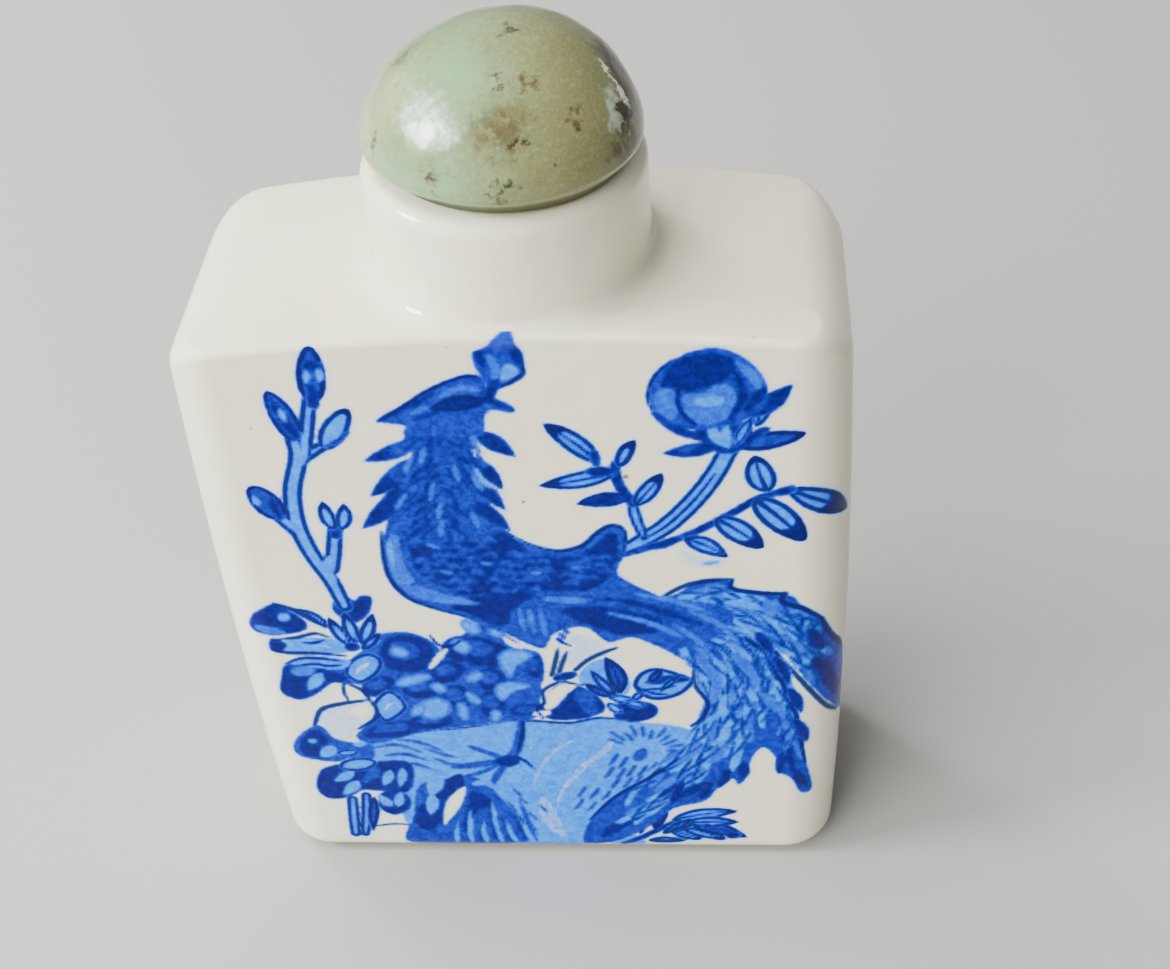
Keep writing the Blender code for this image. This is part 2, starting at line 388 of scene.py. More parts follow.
@dataclass
class BuddingBranch(Brush):
    """The bare branch with its oval buds, up the left of the picture."""

    rim: float = 3.4

    def paint(self) -> None:
        """Paints the stems first and then each bud over its end."""
        self.stems()
        self.buds()

    def stems(self) -> None:
        """Paints the pale stems between two dark lines each."""
        self.stroke([(-135, 330), (-131, 349), (-127, 369)], 11.5, PALE, (0.9, 0.9), self.rim)
        self.stroke([(-149, 356), (-160, 374), (-169, 386)], 11, PALE, (1.0, 0.8), self.rim)
        self.stroke([(-139, 433), (-130, 440), (-121, 446)], 9, PALE, (1.0, 0.8), self.rim)
        self.stroke([(-139, 434), (-133, 454), (-126, 484)], 10.5, PALE, (1.0, 0.9), self.rim)
        trunk = [(-132, 292), (-138, 318), (-148, 346), (-153, 374), (-151, 404), (-142, 434), (-142, 452)]
        self.stroke(trunk, 13.5, PALE, (0.8, 0.9), self.rim)
        self.stroke([(-136, 315), (-139, 330), (-134, 342)], 7, PALE, (0.6, 0.6))
        self.stroke([(-141, 429), (-137, 439), (-134, 454)], 5.5, PALE, (0.8, 0.6))
        self.stroke([(-150, 362), (-156, 370), (-163, 379)], 5, PALE, (0.8, 0.6))

    def buds(self) -> None:
        """Paints the five buds, dark at their feet or tips with a pale light on each."""
        self.leaf((-141, 449), (-153, 491), 17.5, MID, MID, 3, 0, -1, blunt=0.5)
        self.stroke([(-140, 454), (-147, 469), (-151, 483)], 9.5, DEEP, (0.9, 0.5))
        self.stroke([(-145, 467), (-147, 475)], 4.2, PALE, (0.6, 0.6))
        self.leaf((-124, 482), (-119, 527), 19, MID, MID, 3.6, 0, 0, blunt=0.45)
        self.stroke([(-124, 480), (-123, 494)], 9, DEEP, (0.9, 0.8))
        self.oval((-120, 512), (15, 9), 0, DEEP)
        self.stroke([(-125, 499), (-124, 507)], 4.5, PALE, (0.5, 0.5))
        self.stroke([(-116, 500), (-115, 509)], 5, PALE, (0.5, 0.5))
        self.leaf((-123, 442), (-102, 476), 17.5, PALE, DEEP, 3.6, 0, 0.5, start=0.82, blunt=0.5)
        self.stroke([(-122, 444), (-111, 450), (-104, 457)], 4, DEEP, (0.6, 0.3))
        self.leaf((-163, 379), (-180, 408), 21, MID, MID, 3.4, 0, 0, blunt=0.45)
        self.stroke([(-164, 380), (-167, 390), (-166, 397)], 8, DEEP, (0.9, 0.4))
        self.stroke([(-177, 391), (-179, 398)], 5, PALE, (0.5, 0.5))
        self.stroke([(-127, 363), (-126, 374)], 9.5, DEEP, (0.9, 0.9))
        self.leaf((-128, 368), (-132, 394), 11.5, PALE, MID, 3.2, 0, 1, start=0.7, blunt=0.6)
        self.leaf((-123, 368), (-117, 392), 11.5, PALE, MID, 3.2, 0, -1, start=0.7, blunt=0.6)


@dataclass
class PeonySprays(Brush):
    """The peony bud on its curved stem, with its side twig and its sprays of leaves."""

    stem: float = 15.0
    stem_rim: float = 3.0

    def paint(self) -> None:
        """Paints the stems, then the leaves, then the bud with its leaves of the calyx."""
        self.stems()
        self.right_spray()
        self.twig()
        self.calyx()
        self.bud()

    def stems(self) -> None:
        """Paints the bud's pale stem between its two lines, and the dark stem of the lower spray."""
        self.stroke([(136, 334), (124, 335), (112, 343)], 8, FAINT, (0.8, 0.4))
        self.stroke([(135, 334), (126, 333)], 5, PALE, (0.8, 0.3))
        branch = [(69, 343), (96, 352), (122, 364), (144, 379), (164, 393), (186, 402)]
        self.stroke(branch, 6.6, DEEP, (1.0, 0.8))
        stem = [(145, 439), (135, 416), (121, 393), (103, 371), (86, 357), (72, 347)]
        self.stroke(stem, self.stem, PALE, (0.9, 0.6), self.stem_rim)
        self.line(stem[1:5], 2.6, (0.5, 0.4))
        self.stroke([(83, 349), (99, 352), (112, 359)], 7.5, DEEP, (0.5, 0.4))

    def right_spray(self) -> None:
        """Paints the pale leaves with dark tips along the lower stem."""
        self.leaf((113, 358), (143, 339), 15, PALE, MID, 3.2, 3, 1.5, start=0.86)
        self.leaf((135, 376), (167, 347), 20, PALE, DEEP, 3.6, 3.6, 1, start=0.66, blunt=0.6)
        self.leaf((161, 393), (196, 353), 23, PALE, DEEP, 4, 4.5, 1, start=0.64, blunt=0.6)
        self.leaf((170, 399), (161, 431), 20, PALE, DEEP, 3.6, 4, 1, start=0.76, blunt=0.6)
        self.leaf((182, 402), (234, 363), 19, PALE, DEEP, 3.6, 4, 2.5, start=0.52)
        self.oval((182, 399), (15, 7), 20, DEEP)

    def twig(self) -> None:
        """Paints the side twig with its small leaves."""
        self.stroke([(86, 359), (81, 378), (79, 394)], 8.5, PALE, (0.7, 0.8), 2.6)
        self.stroke([(80, 391), (72, 406), (69, 422), (73, 431)], 8, DEEP, (1.0, 0.6))
        self.leaf((78, 396), (42, 391), 12.5, DEEP, None, 2, 0, -1)
        self.leaf((81, 389), (100, 417), 13.5, PALE, DEEP, 3, 2.6, -0.5, start=0.68, blunt=0.6)
        self.leaf((70, 419), (18, 408), 14.5, PALE, DEEP, 2.8, 3.2, 1.2, start=0.72)
        self.oval((59, 420), (21, 9.5), 0, DEEP)
        self.leaf((59, 428), (25, 462), 16, PALE, DEEP, 3.4, 3.4, -1.5, start=0.7, blunt=0.6)
        self.stroke([(56, 436), (57, 427)], 7, DEEP, (0.8, 0.8))
        self.leaf((72, 424), (83, 447), 11, PALE, DEEP, 3.6, 0, 1, start=0.62, blunt=0.6)

    def calyx(self) -> None:
        """Paints the leaves under the bud."""
        self.leaf((162, 456), (172, 484), 12, PALE, None, 2.8, 2.6, 1)
        self.leaf((153, 466), (185, 490), 15, DEEP, None, 0, 0, -3)
        self.leaf((147, 441), (194, 449), 15, MID, DEEP, 3.4, 0, -1, start=0.8, blunt=0.6)
        self.stroke([(150, 439), (163, 450), (170, 454)], 7, DEEP, (1.0, 0.4))
        self.leaf((139, 441), (101, 435), 12, DEEP, None, 0, 0, 1)
        self.stroke([(120, 440), (114, 438)], 3.6, MID, (0.6, 0.4))
        self.shape([(122, 454), (136, 435), (152, 436), (160, 456), (142, 464)], DEEP)
        self.leaf((141, 440), (131, 462), 7.5, PALE, None, 0, 0, 1)
        self.leaf((144, 438), (143, 459), 7, PALE, None, 0, 0, 1)
        self.leaf((149, 440), (160, 464), 7.5, PALE, None, 2, 0, 1)

    def bud(self) -> None:
        """Paints the round bud, dark in its heart, with a soft petal in front and one at each side."""
        edge = [(94, 483), (98, 501), (108, 511), (122, 519), (138, 521), (154, 513), (166, 498)]
        edge += [(169, 483), (163, 468), (150, 459), (130, 455), (112, 456), (99, 465)]
        self.shape(edge, MID)
        heart = [(101, 490), (104, 504), (114, 514), (130, 518), (146, 515)]
        heart += [(152, 504), (142, 494), (126, 487), (112, 486)]
        self.shape(heart, DEEP)
        self.shape([(97, 482), (103, 490), (110, 487), (112, 474), (109, 464), (101, 466)], SOFT)
        petal = [(116, 483), (129, 485), (138, 492), (147, 488)]
        petal += [(149, 476), (142, 463), (129, 459), (119, 467)]
        self.shape(petal, SOFT)
        self.stroke([(124, 478), (133, 478), (141, 480)], 8, PALE, (0.3, 0.3))
        self.stroke([(150, 509), (159, 499), (164, 488)], 6, SOFT, (0.3, 0.3))
        self.stroke([(145, 506), (152, 493), (153, 478), (146, 464)], 8, DEEP, (0.6, 0.6))
        self.line([(113, 489), (112, 478), (116, 467), (123, 459)], 3, (0.8, 0.8))
        self.stroke([(156, 472), (163, 480), (167, 487)], 9, DEEP, (0.8, 0.5))
        self.stroke([(97, 469), (110, 456), (126, 448)], 7.5, DEEP, (0.6, 0.9))
        self.line([(96, 470), (93, 484), (98, 500), (109, 512)], 2.6, (0.5, 0.5))


@dataclass
class Phoenix(Brush):
    """The crested bird with its spiky neck, scaled back and long plumes."""

    barb: float = 5.6
    barb_spread: float = 3.4
    curl: float = 6.68476
    gap: float = 3.4
    gap_offset: float = 3.6
    scale_rows: int = 8
    scale_columns: int = 17
    neck_rows: int = 11
    neck_lights: int = 22

    def paint(self) -> None:
        """Paints the plumes, then the body, then the neck and the head."""
        self.tail()
        self.body()
        self.scales()
        self.neck()
        self.head()

    def tail(self) -> None:
        """Paints the two plumes as broad washes with feathers laid along their flow."""
        upper = [(70, 314), (98, 300), (124, 316), (145, 315), (148, 308), (184, 301), (194, 291)]
        upper += [(210, 273), (220, 250), (236, 224), (242, 152), (220, 176), (204, 202), (192, 224)]
        upper += [(176, 248), (140, 264), (90, 266)]
        self.shape(upper, MID)
        lower = [(65, 272), (96, 246), (117, 226), (120, 202), (128, 182), (119, 164), (112, 152)]
        lower += [(104, 124), (82, 99), (52, 75), (34, 50), (24, 26), (26, 10), (52, 17), (76, 34)]
        lower += [(98, 59), (123, 69), (132, 83), (144, 97), (150, 90), (157, 112), (163, 129), (170, 134)]
        lower += [(178, 122), (179, 106), (190, 98), (198, 79), (207, 78), (206, 94), (200, 124)]
        lower += [(198, 154), (192, 182), (182, 214), (171, 244), (156, 268), (110, 284)]
        self.shape(lower, MID)
        for points, width in (
            ([(96, 296), (126, 298), (154, 288)], 12),
            ([(104, 264), (126, 246), (138, 222), (142, 196)], 9),
            ([(139, 190), (136, 164), (122, 134)], 10),
            ([(156, 248), (169, 216), (172, 184)], 8),
            ([(180, 180), (186, 154), (189, 128)], 10),
            ([(190, 280), (204, 256), (218, 228)], 15),
            ([(208, 226), (220, 202), (234, 172)], 15),
            ([(122, 90), (106, 82), (90, 72)], 17),
            ([(72, 54), (54, 38), (40, 22)], 14),
        ):
            self.stroke(points, width, DEEP, (0.4, 0.3))
        self.barbs()
        self.crescents()
        self.edges()

    def barbs(self) -> None:
        """Lays feathers along the plumes' flow, light on the dark wash with a dark gap beside each."""
        flows = (
            [(108, 299), (130, 305), (156, 296), (184, 274), (204, 246), (220, 216), (234, 184)],
            [(98, 290), (128, 289), (158, 277), (182, 252), (202, 220), (219, 188), (232, 164)],
            [(126, 282), (164, 250), (181, 208), (189, 170), (192, 130), (200, 92)],
            [(120, 278), (154, 250), (169, 212), (171, 174), (164, 144)],
            [(114, 270), (142, 242), (156, 206), (156, 168), (149, 134), (136, 104)],
            [(110, 264), (132, 232), (142, 198), (139, 164), (125, 130), (106, 102), (86, 72)],
            [(106, 256), (122, 226), (130, 194), (126, 162), (112, 132), (88, 104), (62, 76), (42, 44)],
            [(128, 124), (114, 99), (90, 72), (66, 48), (50, 28)],
            [(150, 252), (163, 226), (168, 198), (164, 168), (156, 142)],
            [(140, 252), (150, 224), (149, 192), (144, 158), (134, 126)],
            [(174, 240), (184, 212), (189, 182), (186, 148), (182, 122)],
            [(192, 284), (206, 264), (218, 238), (228, 210)],
            [(176, 294), (192, 276), (198, 256), (208, 228)],
        )
        runs = []
        for lane, points in enumerate(flows):
            path = smooth_path(points, per=12)
            count = round(2.0 * (len(points) - 1))
            for i in range(count):
                chance = 0.5 + 0.5 * math.sin(12.9 * i + 7.3 * lane)
                first = int((i + 0.6 * chance) / count * (len(path) - 12))
                run = path[first : first + 9 + int(6 * chance) : 2]
                way = run[-1] - run[0]
                side = np.array((-way[1], way[0])) / np.hypot(*way) * (1 if (lane + i) % 2 else -1)
                run = run + self.curl * np.linspace(0.0, 1.0, len(run))[:, None] ** 1.4 * side
                if run[0][0] > 198 and run[0][1] > 140 and i % 3:
                    continue
                tone = (PALE, SOFT, PALE, SOFT, PALE, PALE, SOFT)[(3 * i + 2 * lane) % 7]
                runs.append((run, side, chance))
                self.stroke(run, self.barb + self.barb_spread * chance, tone, (0.7, 0.15))
        for run, side, chance in runs:
            self.stroke(run - (self.gap_offset + 1.2 * chance) * side, self.gap, DEEP, (0.6, 0.15))

    def crescents(self) -> None:
        """Lays the long light feathers down the plumes' inner edges and the deepest washes."""
        for points, width, tone in (
            ([(122, 236), (134, 212), (130, 186)], 9, SOFT),
            ([(140, 196), (136, 176), (122, 162)], 6, PALE),
            ([(146, 240), (156, 226), (164, 208)], 8, SOFT),
            ([(128, 285), (146, 276), (160, 262)], 4.5, PALE),
            ([(148, 268), (160, 260), (170, 246)], 5, PALE),
            ([(142, 294), (154, 293), (166, 287)], 8, PALE),
            ([(170, 294), (172, 286), (172, 278)], 9, SOFT),
            ([(168, 196), (172, 188), (174, 180)], 7, SOFT),
            ([(174, 186), (180, 180), (183, 170)], 6, SOFT),
            ([(142, 158), (138, 146), (130, 138)], 7, PALE),
            ([(140, 136), (134, 124), (126, 116)], 6, SOFT),
            ([(122, 134), (110, 122), (96, 112)], 5, SOFT),
            ([(202, 262), (206, 250), (212, 240)], 13, DEEP),
            ([(206, 230), (216, 212), (226, 192)], 15, DEEP),
            ([(120, 89), (108, 80), (98, 70)], 9, DEEP),
            ([(106, 94), (94, 82), (84, 70)], 6, DEEP),
            ([(190, 136), (188, 122), (192, 108)], 9, DEEP),
        ):
            self.stroke(points, width, tone, (0.5, 0.3))

    def edges(self) -> None:
        """Draws the dark outlines and the spiky tips of the plumes."""
        for points, width in (
            ([(96, 300), (112, 311), (128, 316), (145, 317)], 4.2),
            ([(146, 317), (146, 308), (166, 303), (184, 302)], 4.2),
            ([(183, 303), (181, 294), (196, 286), (210, 272)], 4.6),
            ([(210, 272), (218, 252), (234, 226)], 5),
            ([(174, 246), (189, 222), (204, 196), (218, 172), (232, 156)], 4),
            ([(154, 258), (162, 250), (173, 243)], 3.6),
            ([(170, 236), (180, 214), (188, 188), (195, 162), (198, 134), (201, 114)], 3.6),
            ([(117, 228), (118, 206), (127, 186), (122, 169), (114, 160)], 3.6),
            ([(30, 44), (52, 74), (80, 98), (102, 120)], 3.4),
        ):
            self.line(points, width, (0.6, 0.6))
        for base, tip in (
            ((188, 114), (206, 77)),
            ((183, 130), (180, 102)),
            ((154, 120), (150, 90)),
            ((142, 110), (132, 84)),
            ((128, 94), (118, 69)),
            ((106, 96), (94, 59)),
            ((162, 264), (175, 239)),
            ((176, 238), (187, 208)),
            ((186, 204), (197, 174)),
            ((192, 168), (202, 138)),
        ):
            self.leaf(base, tip, 10, DEEP, None, 0, 0, 1)

    def body(self) -> None:
        """Paints the breast, back and belly as one dark wash, lighter along the breast."""
        edge = [(-92, 368), (-97, 344), (-95, 318), (-86, 301), (-72, 293), (-52, 284), (-34, 272)]
        edge += [(-16, 262), (-2, 252), (9, 248), (18, 264), (40, 270), (56, 254), (74, 259)]
        edge += [(102, 246), (136, 260), (146, 286), (104, 299), (94, 302), (76, 314), (66, 326)]
        edge += [(73, 346), (73, 365), (65, 371), (54, 365), (44, 353), (26, 347), (8, 352)]
        edge += [(-7, 364), (-14, 380), (-46, 400), (-80, 390)]
        self.shape(edge, MID)
        back = [(-80, 374), (-82, 340), (-74, 318), (-56, 306), (-30, 302), (-6, 308), (22, 302)]
        back += [(54, 312), (66, 334), (69, 360), (60, 364), (46, 348), (24, 342), (6, 348)]
        back += [(-12, 370), (-46, 390)]
        self.shape(back, DEEP)
        self.shape([(-54, 293), (-44, 283), (-28, 273), (-15, 273), (-9, 288), (6, 304), (-20, 309)], DEEP)
        self.shape([(22, 289), (50, 294), (90, 286), (94, 266), (66, 260), (52, 266), (32, 278)], DEEP)
        self.stroke([(30, 299), (76, 294), (124, 272)], 9, DEEP, (0.4, 0.6))
        for points in (
            [(34, 296), (66, 292), (98, 280)],
            [(58, 284), (86, 274), (110, 258)],
            [(10, 306), (36, 304), (64, 302)],
            [(78, 304), (106, 296), (132, 282)],
            [(104, 272), (120, 256), (132, 236)],
            [(116, 286), (138, 270), (152, 248)],
        ):
            self.stroke(points, 4.2, SOFT if points[0][0] > 50 else MID, (0.3, 0.2))
        self.line([(-95, 366), (-97, 342), (-95, 319), (-84, 300), (-64, 289), (-46, 282)], 3.6, (0.6, 0.6))
        rump = [(-10, 366), (8, 353), (26, 347), (43, 352), (54, 364), (65, 371), (73, 365), (72, 348)]
        self.line(rump, 3.4, (0.4, 0.5))
        self.stroke([(-86, 364), (-89, 336), (-82, 313), (-66, 302), (-36, 295)], 12, SOFT, (0.4, 0.2))
        self.stroke([(-79, 356), (-80, 334), (-72, 318), (-58, 310)], 5, MID, (0.4, 0.3))
        for x in (-7, 0, 8):
            self.stroke([(x + 1, 289), (x + 2, 276), (x + 3, 264 - 0.4 * x)], 3.4, SOFT, (0.3, 0.2))
        self.stroke([(12, 300), (28, 298), (46, 298)], 6, SOFT, (0.3, 0.3))
        self.stroke([(-91, 358), (-92, 346), (-91, 334)], 4.2, PALE, (0.4, 0.3))

    def scales(self) -> None:
        """Works rows of small uneven strokes into the dark of the back."""
        for row in range(self.scale_rows):
            for column in range(self.scale_columns):
                wander = math.sin(12.9 * row + 7.3 * column)
                x = -76 + 8.6 * column + 4.3 * (row % 2) - row + 2 * wander
                y = 372 - 8.4 * row - 2 * column + 0.17 * column**2 + 1.6 * math.cos(5.1 * row + 3.7 * column)
                if x > 62 or y < 304 or (x > -10 and y > 344) or y > 382 or wander > 0.75:
                    continue
                points = [(x - 3.6, y + 0.2), (x, y + 2 + 0.8 * wander), (x + 3.6, y - 0.6)]
                self.stroke(points, 3 + 0.8 * wander, MID, (0.5, 0.3))
        lights = ((-64, 354, -0.5), (-58, 328, -0.4), (-28, 336, -0.3), (6, 326, -0.1), (34, 330, 0.1))
        for x, y, slope in lights:
            self.stroke([(x, y), (x + 7, y + 7 * slope)], 3, SOFT, (0.4, 0.2))

    def neck(self) -> None:
        """Paints the neck with its pointed feathers, which fan out from its middle."""
        edge = [(-66, 460), (-64, 440), (-74, 416), (-84, 388), (-90, 366), (-60, 356), (-12, 366)]
        edge += [(-16, 390), (-22, 414), (-24, 440), (-14, 464), (-30, 484)]
        self.shape(edge, MID)
        for base, tip, width, tone in (
            ((-56, 450), (-98, 431), 13, MID),
            ((-62, 434), (-98, 399), 15, MID),
            ((-70, 408), (-108, 369), 16, DEEP),
            ((-70, 419), (-96, 386), 9, DEEP),
            ((-22, 456), (4, 434), 14, DEEP),
            ((-26, 434), (-7, 405), 12, DEEP),
            ((-32, 420), (-7, 386), 13, DEEP),
            ((-32, 396), (-5, 366), 13, DEEP),
        ):
            self.leaf(base, tip, width, tone, DEEP, 0, 0, 1.2, start=0.5, blunt=0.8)
        for row in range(self.neck_rows):
            y = 466 - 9.4 * row
            middle = -39 - 1.5 * row
            for hand, reach, drop in ((-1, 27, 17), (1, 19, 16), (-1, 13, 19), (1, 9, 19)):
                wander = 2.5 * math.sin(3.1 * row + 0.5 * reach)
                start = (middle + hand * 2.5 + wander, y + wander)
                end = (middle + hand * reach + wander, y - drop)
                bow = (0.5 * (start[0] + end[0]) + 1.8 * hand, 0.5 * (start[1] + end[1]) + 3)
                self.stroke([start, bow, end], 5.2, DEEP, (0.5, 0.3))
        for i in range(self.neck_lights):
            x = -40 + 23 * math.sin(2.4 * i) - 0.7 * i
            y = 464 - 4.2 * i
            lean = 0.28 * (x + 42)
            tone = (MID, SOFT)[i % 2]
            self.stroke([(x, y), (x + 0.5 * lean, y - 7), (x + lean, y - 14)], 3.4, tone, (0.5, 0.2))
        self.stroke([(-23, 423), (-20, 414), (-14, 406)], 4.2, PALE, (0.4, 0.3))

    def head(self) -> None:
        """Paints the head with its hooked bill to the left, the long dark eye and the crest."""
        edge = [(-83, 466), (-66, 478), (-48, 491), (-34, 499), (-20, 504), (-11, 500), (-7, 487)]
        edge += [(6, 477), (5, 472), (-6, 474), (-13, 469), (-16, 454), (-36, 452), (-60, 454), (-66, 462)]
        self.shape(edge, MID)
        self.stroke([(-83, 466), (-60, 479), (-38, 491)], 6.2, DEEP, (0.4, 0.4))
        self.stroke([(-64, 466), (-50, 470), (-42, 475)], 5, DEEP, (0.4, 0.3))
        self.leaf((-12, 482), (-47, 476), 12.5, DEEP, None, 2.6, 0, -1, blunt=0.6)
        self.stroke([(-40, 486), (-26, 493), (-14, 491)], 4, SOFT, (0.3, 0.3))
        self.stroke([(-60, 472), (-50, 477)], 3.4, SOFT, (0.3, 0.3))
        self.stroke([(-14, 484), (-3, 479), (6, 474)], 7, DEEP, (0.9, 0.4))
        self.stroke([(-11, 473), (-4, 473)], 3, BARE, (0.5, 0.4))
        self.line([(-84, 465), (-64, 479), (-46, 492), (-24, 502), (-12, 501)], 3, (0.4, 0.5))
        crest = [(-7, 488), (-12, 502), (-16, 514), (-15, 522), (-7, 526), (2, 535), (9, 538)]
        crest += [(12, 528), (16.5, 519), (15.5, 506), (9, 498), (0, 493)]
        self.shape(crest, MID)
        self.shape([(-14, 512), (-15, 521), (-8, 524), (-5, 516), (-9, 508)], DEEP)
        self.shape([(8, 526), (12, 527), (16, 519), (15, 511), (9, 512)], DEEP)
        self.stroke([(-6, 519), (-2, 508), (-4, 496)], 5, SOFT, (0.4, 0.4))
        self.shape([(0, 500), (4, 511), (10, 510), (12, 504), (7, 500)], PALE)
        self.line([(15, 512), (15, 504), (8, 498), (-1, 493)], 3.4, (0.6, 0.6))
        self.stroke([(-9, 482), (-6, 492), (-1, 500)], 8, DEEP, (0.7, 0.3))


@dataclass
class RockGarden(Brush):
    """The pale rock with its cobbles, flowers and leaves that the bird stands on."""

    eye: Point = (77.0, 131.0)
    rays: int = 13
    blades: int = 17

    def paint(self) -> None:
        """Paints the rock first, then what lies and grows on it."""
        self.rock()
        self.grass()
        self.cobbles()
        self.left_leaves()
        self.foot_leaves()
        self.fan()
        self.right_leaves()

    def rock(self) -> None:
        """Paints the big pale rock with its star-shaped crack and its hatching."""
        edge = [(-142, 140), (-105, 153), (-60, 157), (-20, 166), (20, 163), (45, 170), (72, 165)]
        edge += [(96, 162), (116, 152), (118, 124), (86, 96), (54, 74), (36, 52), (26, 24), (22, 9)]
        edge += [(-60, 9), (-116, 12), (-120, 40), (-130, 80), (-148, 116)]
        self.shape(edge, PALE)
        for points, width in (
            ([(-15, 166), (-17, 150), (-21, 134), (-28, 120)], 9),
            ([(-59, 136), (-46, 129), (-30, 120)], 6),
            ([(-74, 110), (-52, 114), (-30, 119)], 8),
            ([(-44, 90), (-38, 104), (-28, 119)], 7),
            ([(-76, 96), (-56, 102), (-36, 114)], 5),
        ):
            self.stroke(points, width, MID, (0.5, 0.8))
        self.shape([(-40, 120), (-30, 126), (-22, 124), (-20, 116), (-30, 110), (-38, 113)], DEEP)
        self.line([(-23, 124), (-16, 118), (-9, 108)], 3.2, (0.8, 0.2))
        self.line([(-14, 164), (-16, 148), (-21, 130)], 3.4, (0.8, 0.4))
        self.line([(-104, 153), (-60, 158), (-20, 167), (20, 164), (46, 170), (74, 165)], 3, (0.3, 0.6))
        for points in (
            [(-132, 134), (-114, 137), (-96, 128)],
            [(-126, 124), (-110, 126), (-92, 118)],
            [(-116, 144), (-96, 140), (-78, 129)],
            [(-94, 134), (-80, 126), (-68, 122)],
            [(-88, 122), (-76, 114), (-66, 114)],
            [(-122, 114), (-104, 114), (-88, 106)],
        ):
            self.stroke(points, 4.2, MID, (0.3, 0.2))
        for points, width in (
            ([(34, 152), (8, 130), (-8, 102), (-14, 70)], 11),
            ([(48, 152), (52, 142), (46, 130), (28, 110), (10, 80), (2, 46)], 13),
            ([(-6, 74), (-2, 46), (8, 20)], 22),
            ([(-12, 154), (-10, 136), (-14, 126)], 9),
            ([(-122, 136), (-110, 144), (-94, 146)], 7),
            ([(76, 146), (92, 134), (88, 118)], 9),
        ):
            self.thin(points, width)
        self.hatching()

    def hatching(self) -> None:
        """Draws the short strokes around the eye-like mark and down the rock's right side."""
        self.shape([(68, 124), (72, 132), (78, 134), (80, 126), (74, 118), (69, 119)], MID)
        for i in range(self.rays):
            angle = math.radians(150.0 - 15.0 * i)
            c, s = math.cos(angle), math.sin(angle)
            reach = 19 + 2.5 * math.sin(2.3 * i)
            start = (self.eye[0] + 1.6 * reach * c, self.eye[1] + 1.45 * reach * s)
            end = (self.eye[0] + 0.95 * reach * c, self.eye[1] + 0.8 * reach * s)
            middle = (0.5 * (start[0] + end[0]) + 0.5, 0.5 * (start[1] + end[1]))
            self.stroke([start, middle, end], 3.6, MID, (0.9, 0.2))
        self.hatch([(56, 126), (63, 122), (52, 110), (61, 109), (69, 112), (56, 97)], (-7, -13), 3.6)
        self.hatch([(66, 98), (29, 86), (39, 84), (26, 70), (78, 112), (86, 116)], (-7.5, -13), 3.2)
        self.hatch([(94, 122), (99, 130), (74, 100), (48, 80), (36, 66)], (-7, -10), 2.8)
        self.hatch([(-9, 62), (-18, 52), (-24, 72), (-28, 82)], (5, -9), 2.4)

    def grass(self) -> None:
        """Paints the dark blades that fan out at the rock's foot."""
        tuft = [(-80, 96), (-54, 96), (-40, 74), (-30, 50), (-26, 12), (-118, 10), (-112, 50), (-104, 86)]
        self.shape(tuft, MID)
        self.shape([(-72, 102), (-66, 90), (-82, 50), (-102, 28), (-114, 44), (-96, 78)], DEEP)
        self.shape([(-64, 82), (-48, 72), (-40, 54), (-56, 56), (-74, 34), (-84, 28), (-68, 60)], DEEP)
        self.leaf((-67, 86), (-89, 36), 11.5, BARE, None, 0, 0, -1.5)
        self.stroke([(-59, 89), (-50, 92), (-44, 84)], 7, PALE, (0.5, 0.2))
        for i in range(self.blades):
            x = -84 + 4.2 * i
            lean = 9 - 1.1 * i
            top = 46 + 15 * math.sin(0.9 * i) + i
            tone = (PALE, MID, DEEP)[i % 3]
            self.leaf((x + 3, 10), (x + lean, top), 5, tone, None, 0, 0, 1, blunt=0.9)
        self.hatch([(-44, 62), (-34, 66), (-29, 52), (-36, 40), (-19, 40)], (5, -14), 2.6)

    def cobbles(self) -> None:
        """Paints the heap of rounded cobbles, dark between with a pale light on each."""
        heap = [(-124, 248), (-114, 262), (-90, 265), (-74, 256), (-66, 244), (-56, 254), (-38, 274)]
        heap += [(-24, 268), (-6, 249), (6, 240), (6, 216), (2, 194), (-4, 170), (-40, 163)]
        heap += [(-90, 153), (-134, 138), (-146, 152), (-129, 170), (-124, 202), (-152, 214)]
        self.shape(heap, MID)
        corners = [(-1.0, -0.3), (-0.7, 0.7), (0.1, 1.0), (0.9, 0.6), (1.0, -0.4), (0.3, -1.0), (-0.6, -0.9)]
        for middle, size, turn in (
            ((-94, 242), (36, 36), 0),
            ((-42, 244), (28, 44), 80),
            ((-120, 206), (26, 17), 35),
            ((-89, 204), (24, 22), 0),
            ((-66, 222), (26, 20), 30),
            ((-34, 214), (20, 24), 0),
            ((-114, 156), (46, 16), 14),
            ((-62, 194), (19, 26), 0),
            ((-84, 166), (30, 16), 8),
            ((-36, 186), (19, 26), 10),
            ((-9, 179), (26, 13), 8),
            ((0, 228), (12, 24), 0),
            ((-149, 220), (18, 18), 0),
        ):
            x, y = middle
            wide, high = 0.58 * size[0], 0.58 * size[1]
            c, s = math.cos(math.radians(turn)), math.sin(math.radians(turn))
            ring = [(x + c * wide * a - s * high * b, y + s * wide * a + c * high * b) for a, b in corners]
            self.shape(ring, DEEP)
            heart = [(x + 0.48 * (a - x) - 0.10 * wide, y + 0.42 * (b - y) + 0.16 * high) for a, b in ring]
            self.shape(heart, MID)
        for points in (
            [(-143, 219), (-137, 234), (-123, 242), (-113, 235), (-118, 220), (-133, 209)],
            [(-127, 184), (-115, 200), (-106, 196), (-101, 182), (-110, 170), (-121, 165)],
            [(-24, 233), (-20, 243), (-8, 244), (-4, 238), (-14, 229), (-18, 219)],
            [(-30, 199), (-26, 208), (-16, 209), (-8, 205), (-19, 200), (-26, 192)],
            [(-90, 182), (-82, 190), (-72, 188), (-70, 179), (-78, 171), (-88, 172)],
        ):
            middle = np.mean(points, axis=0)
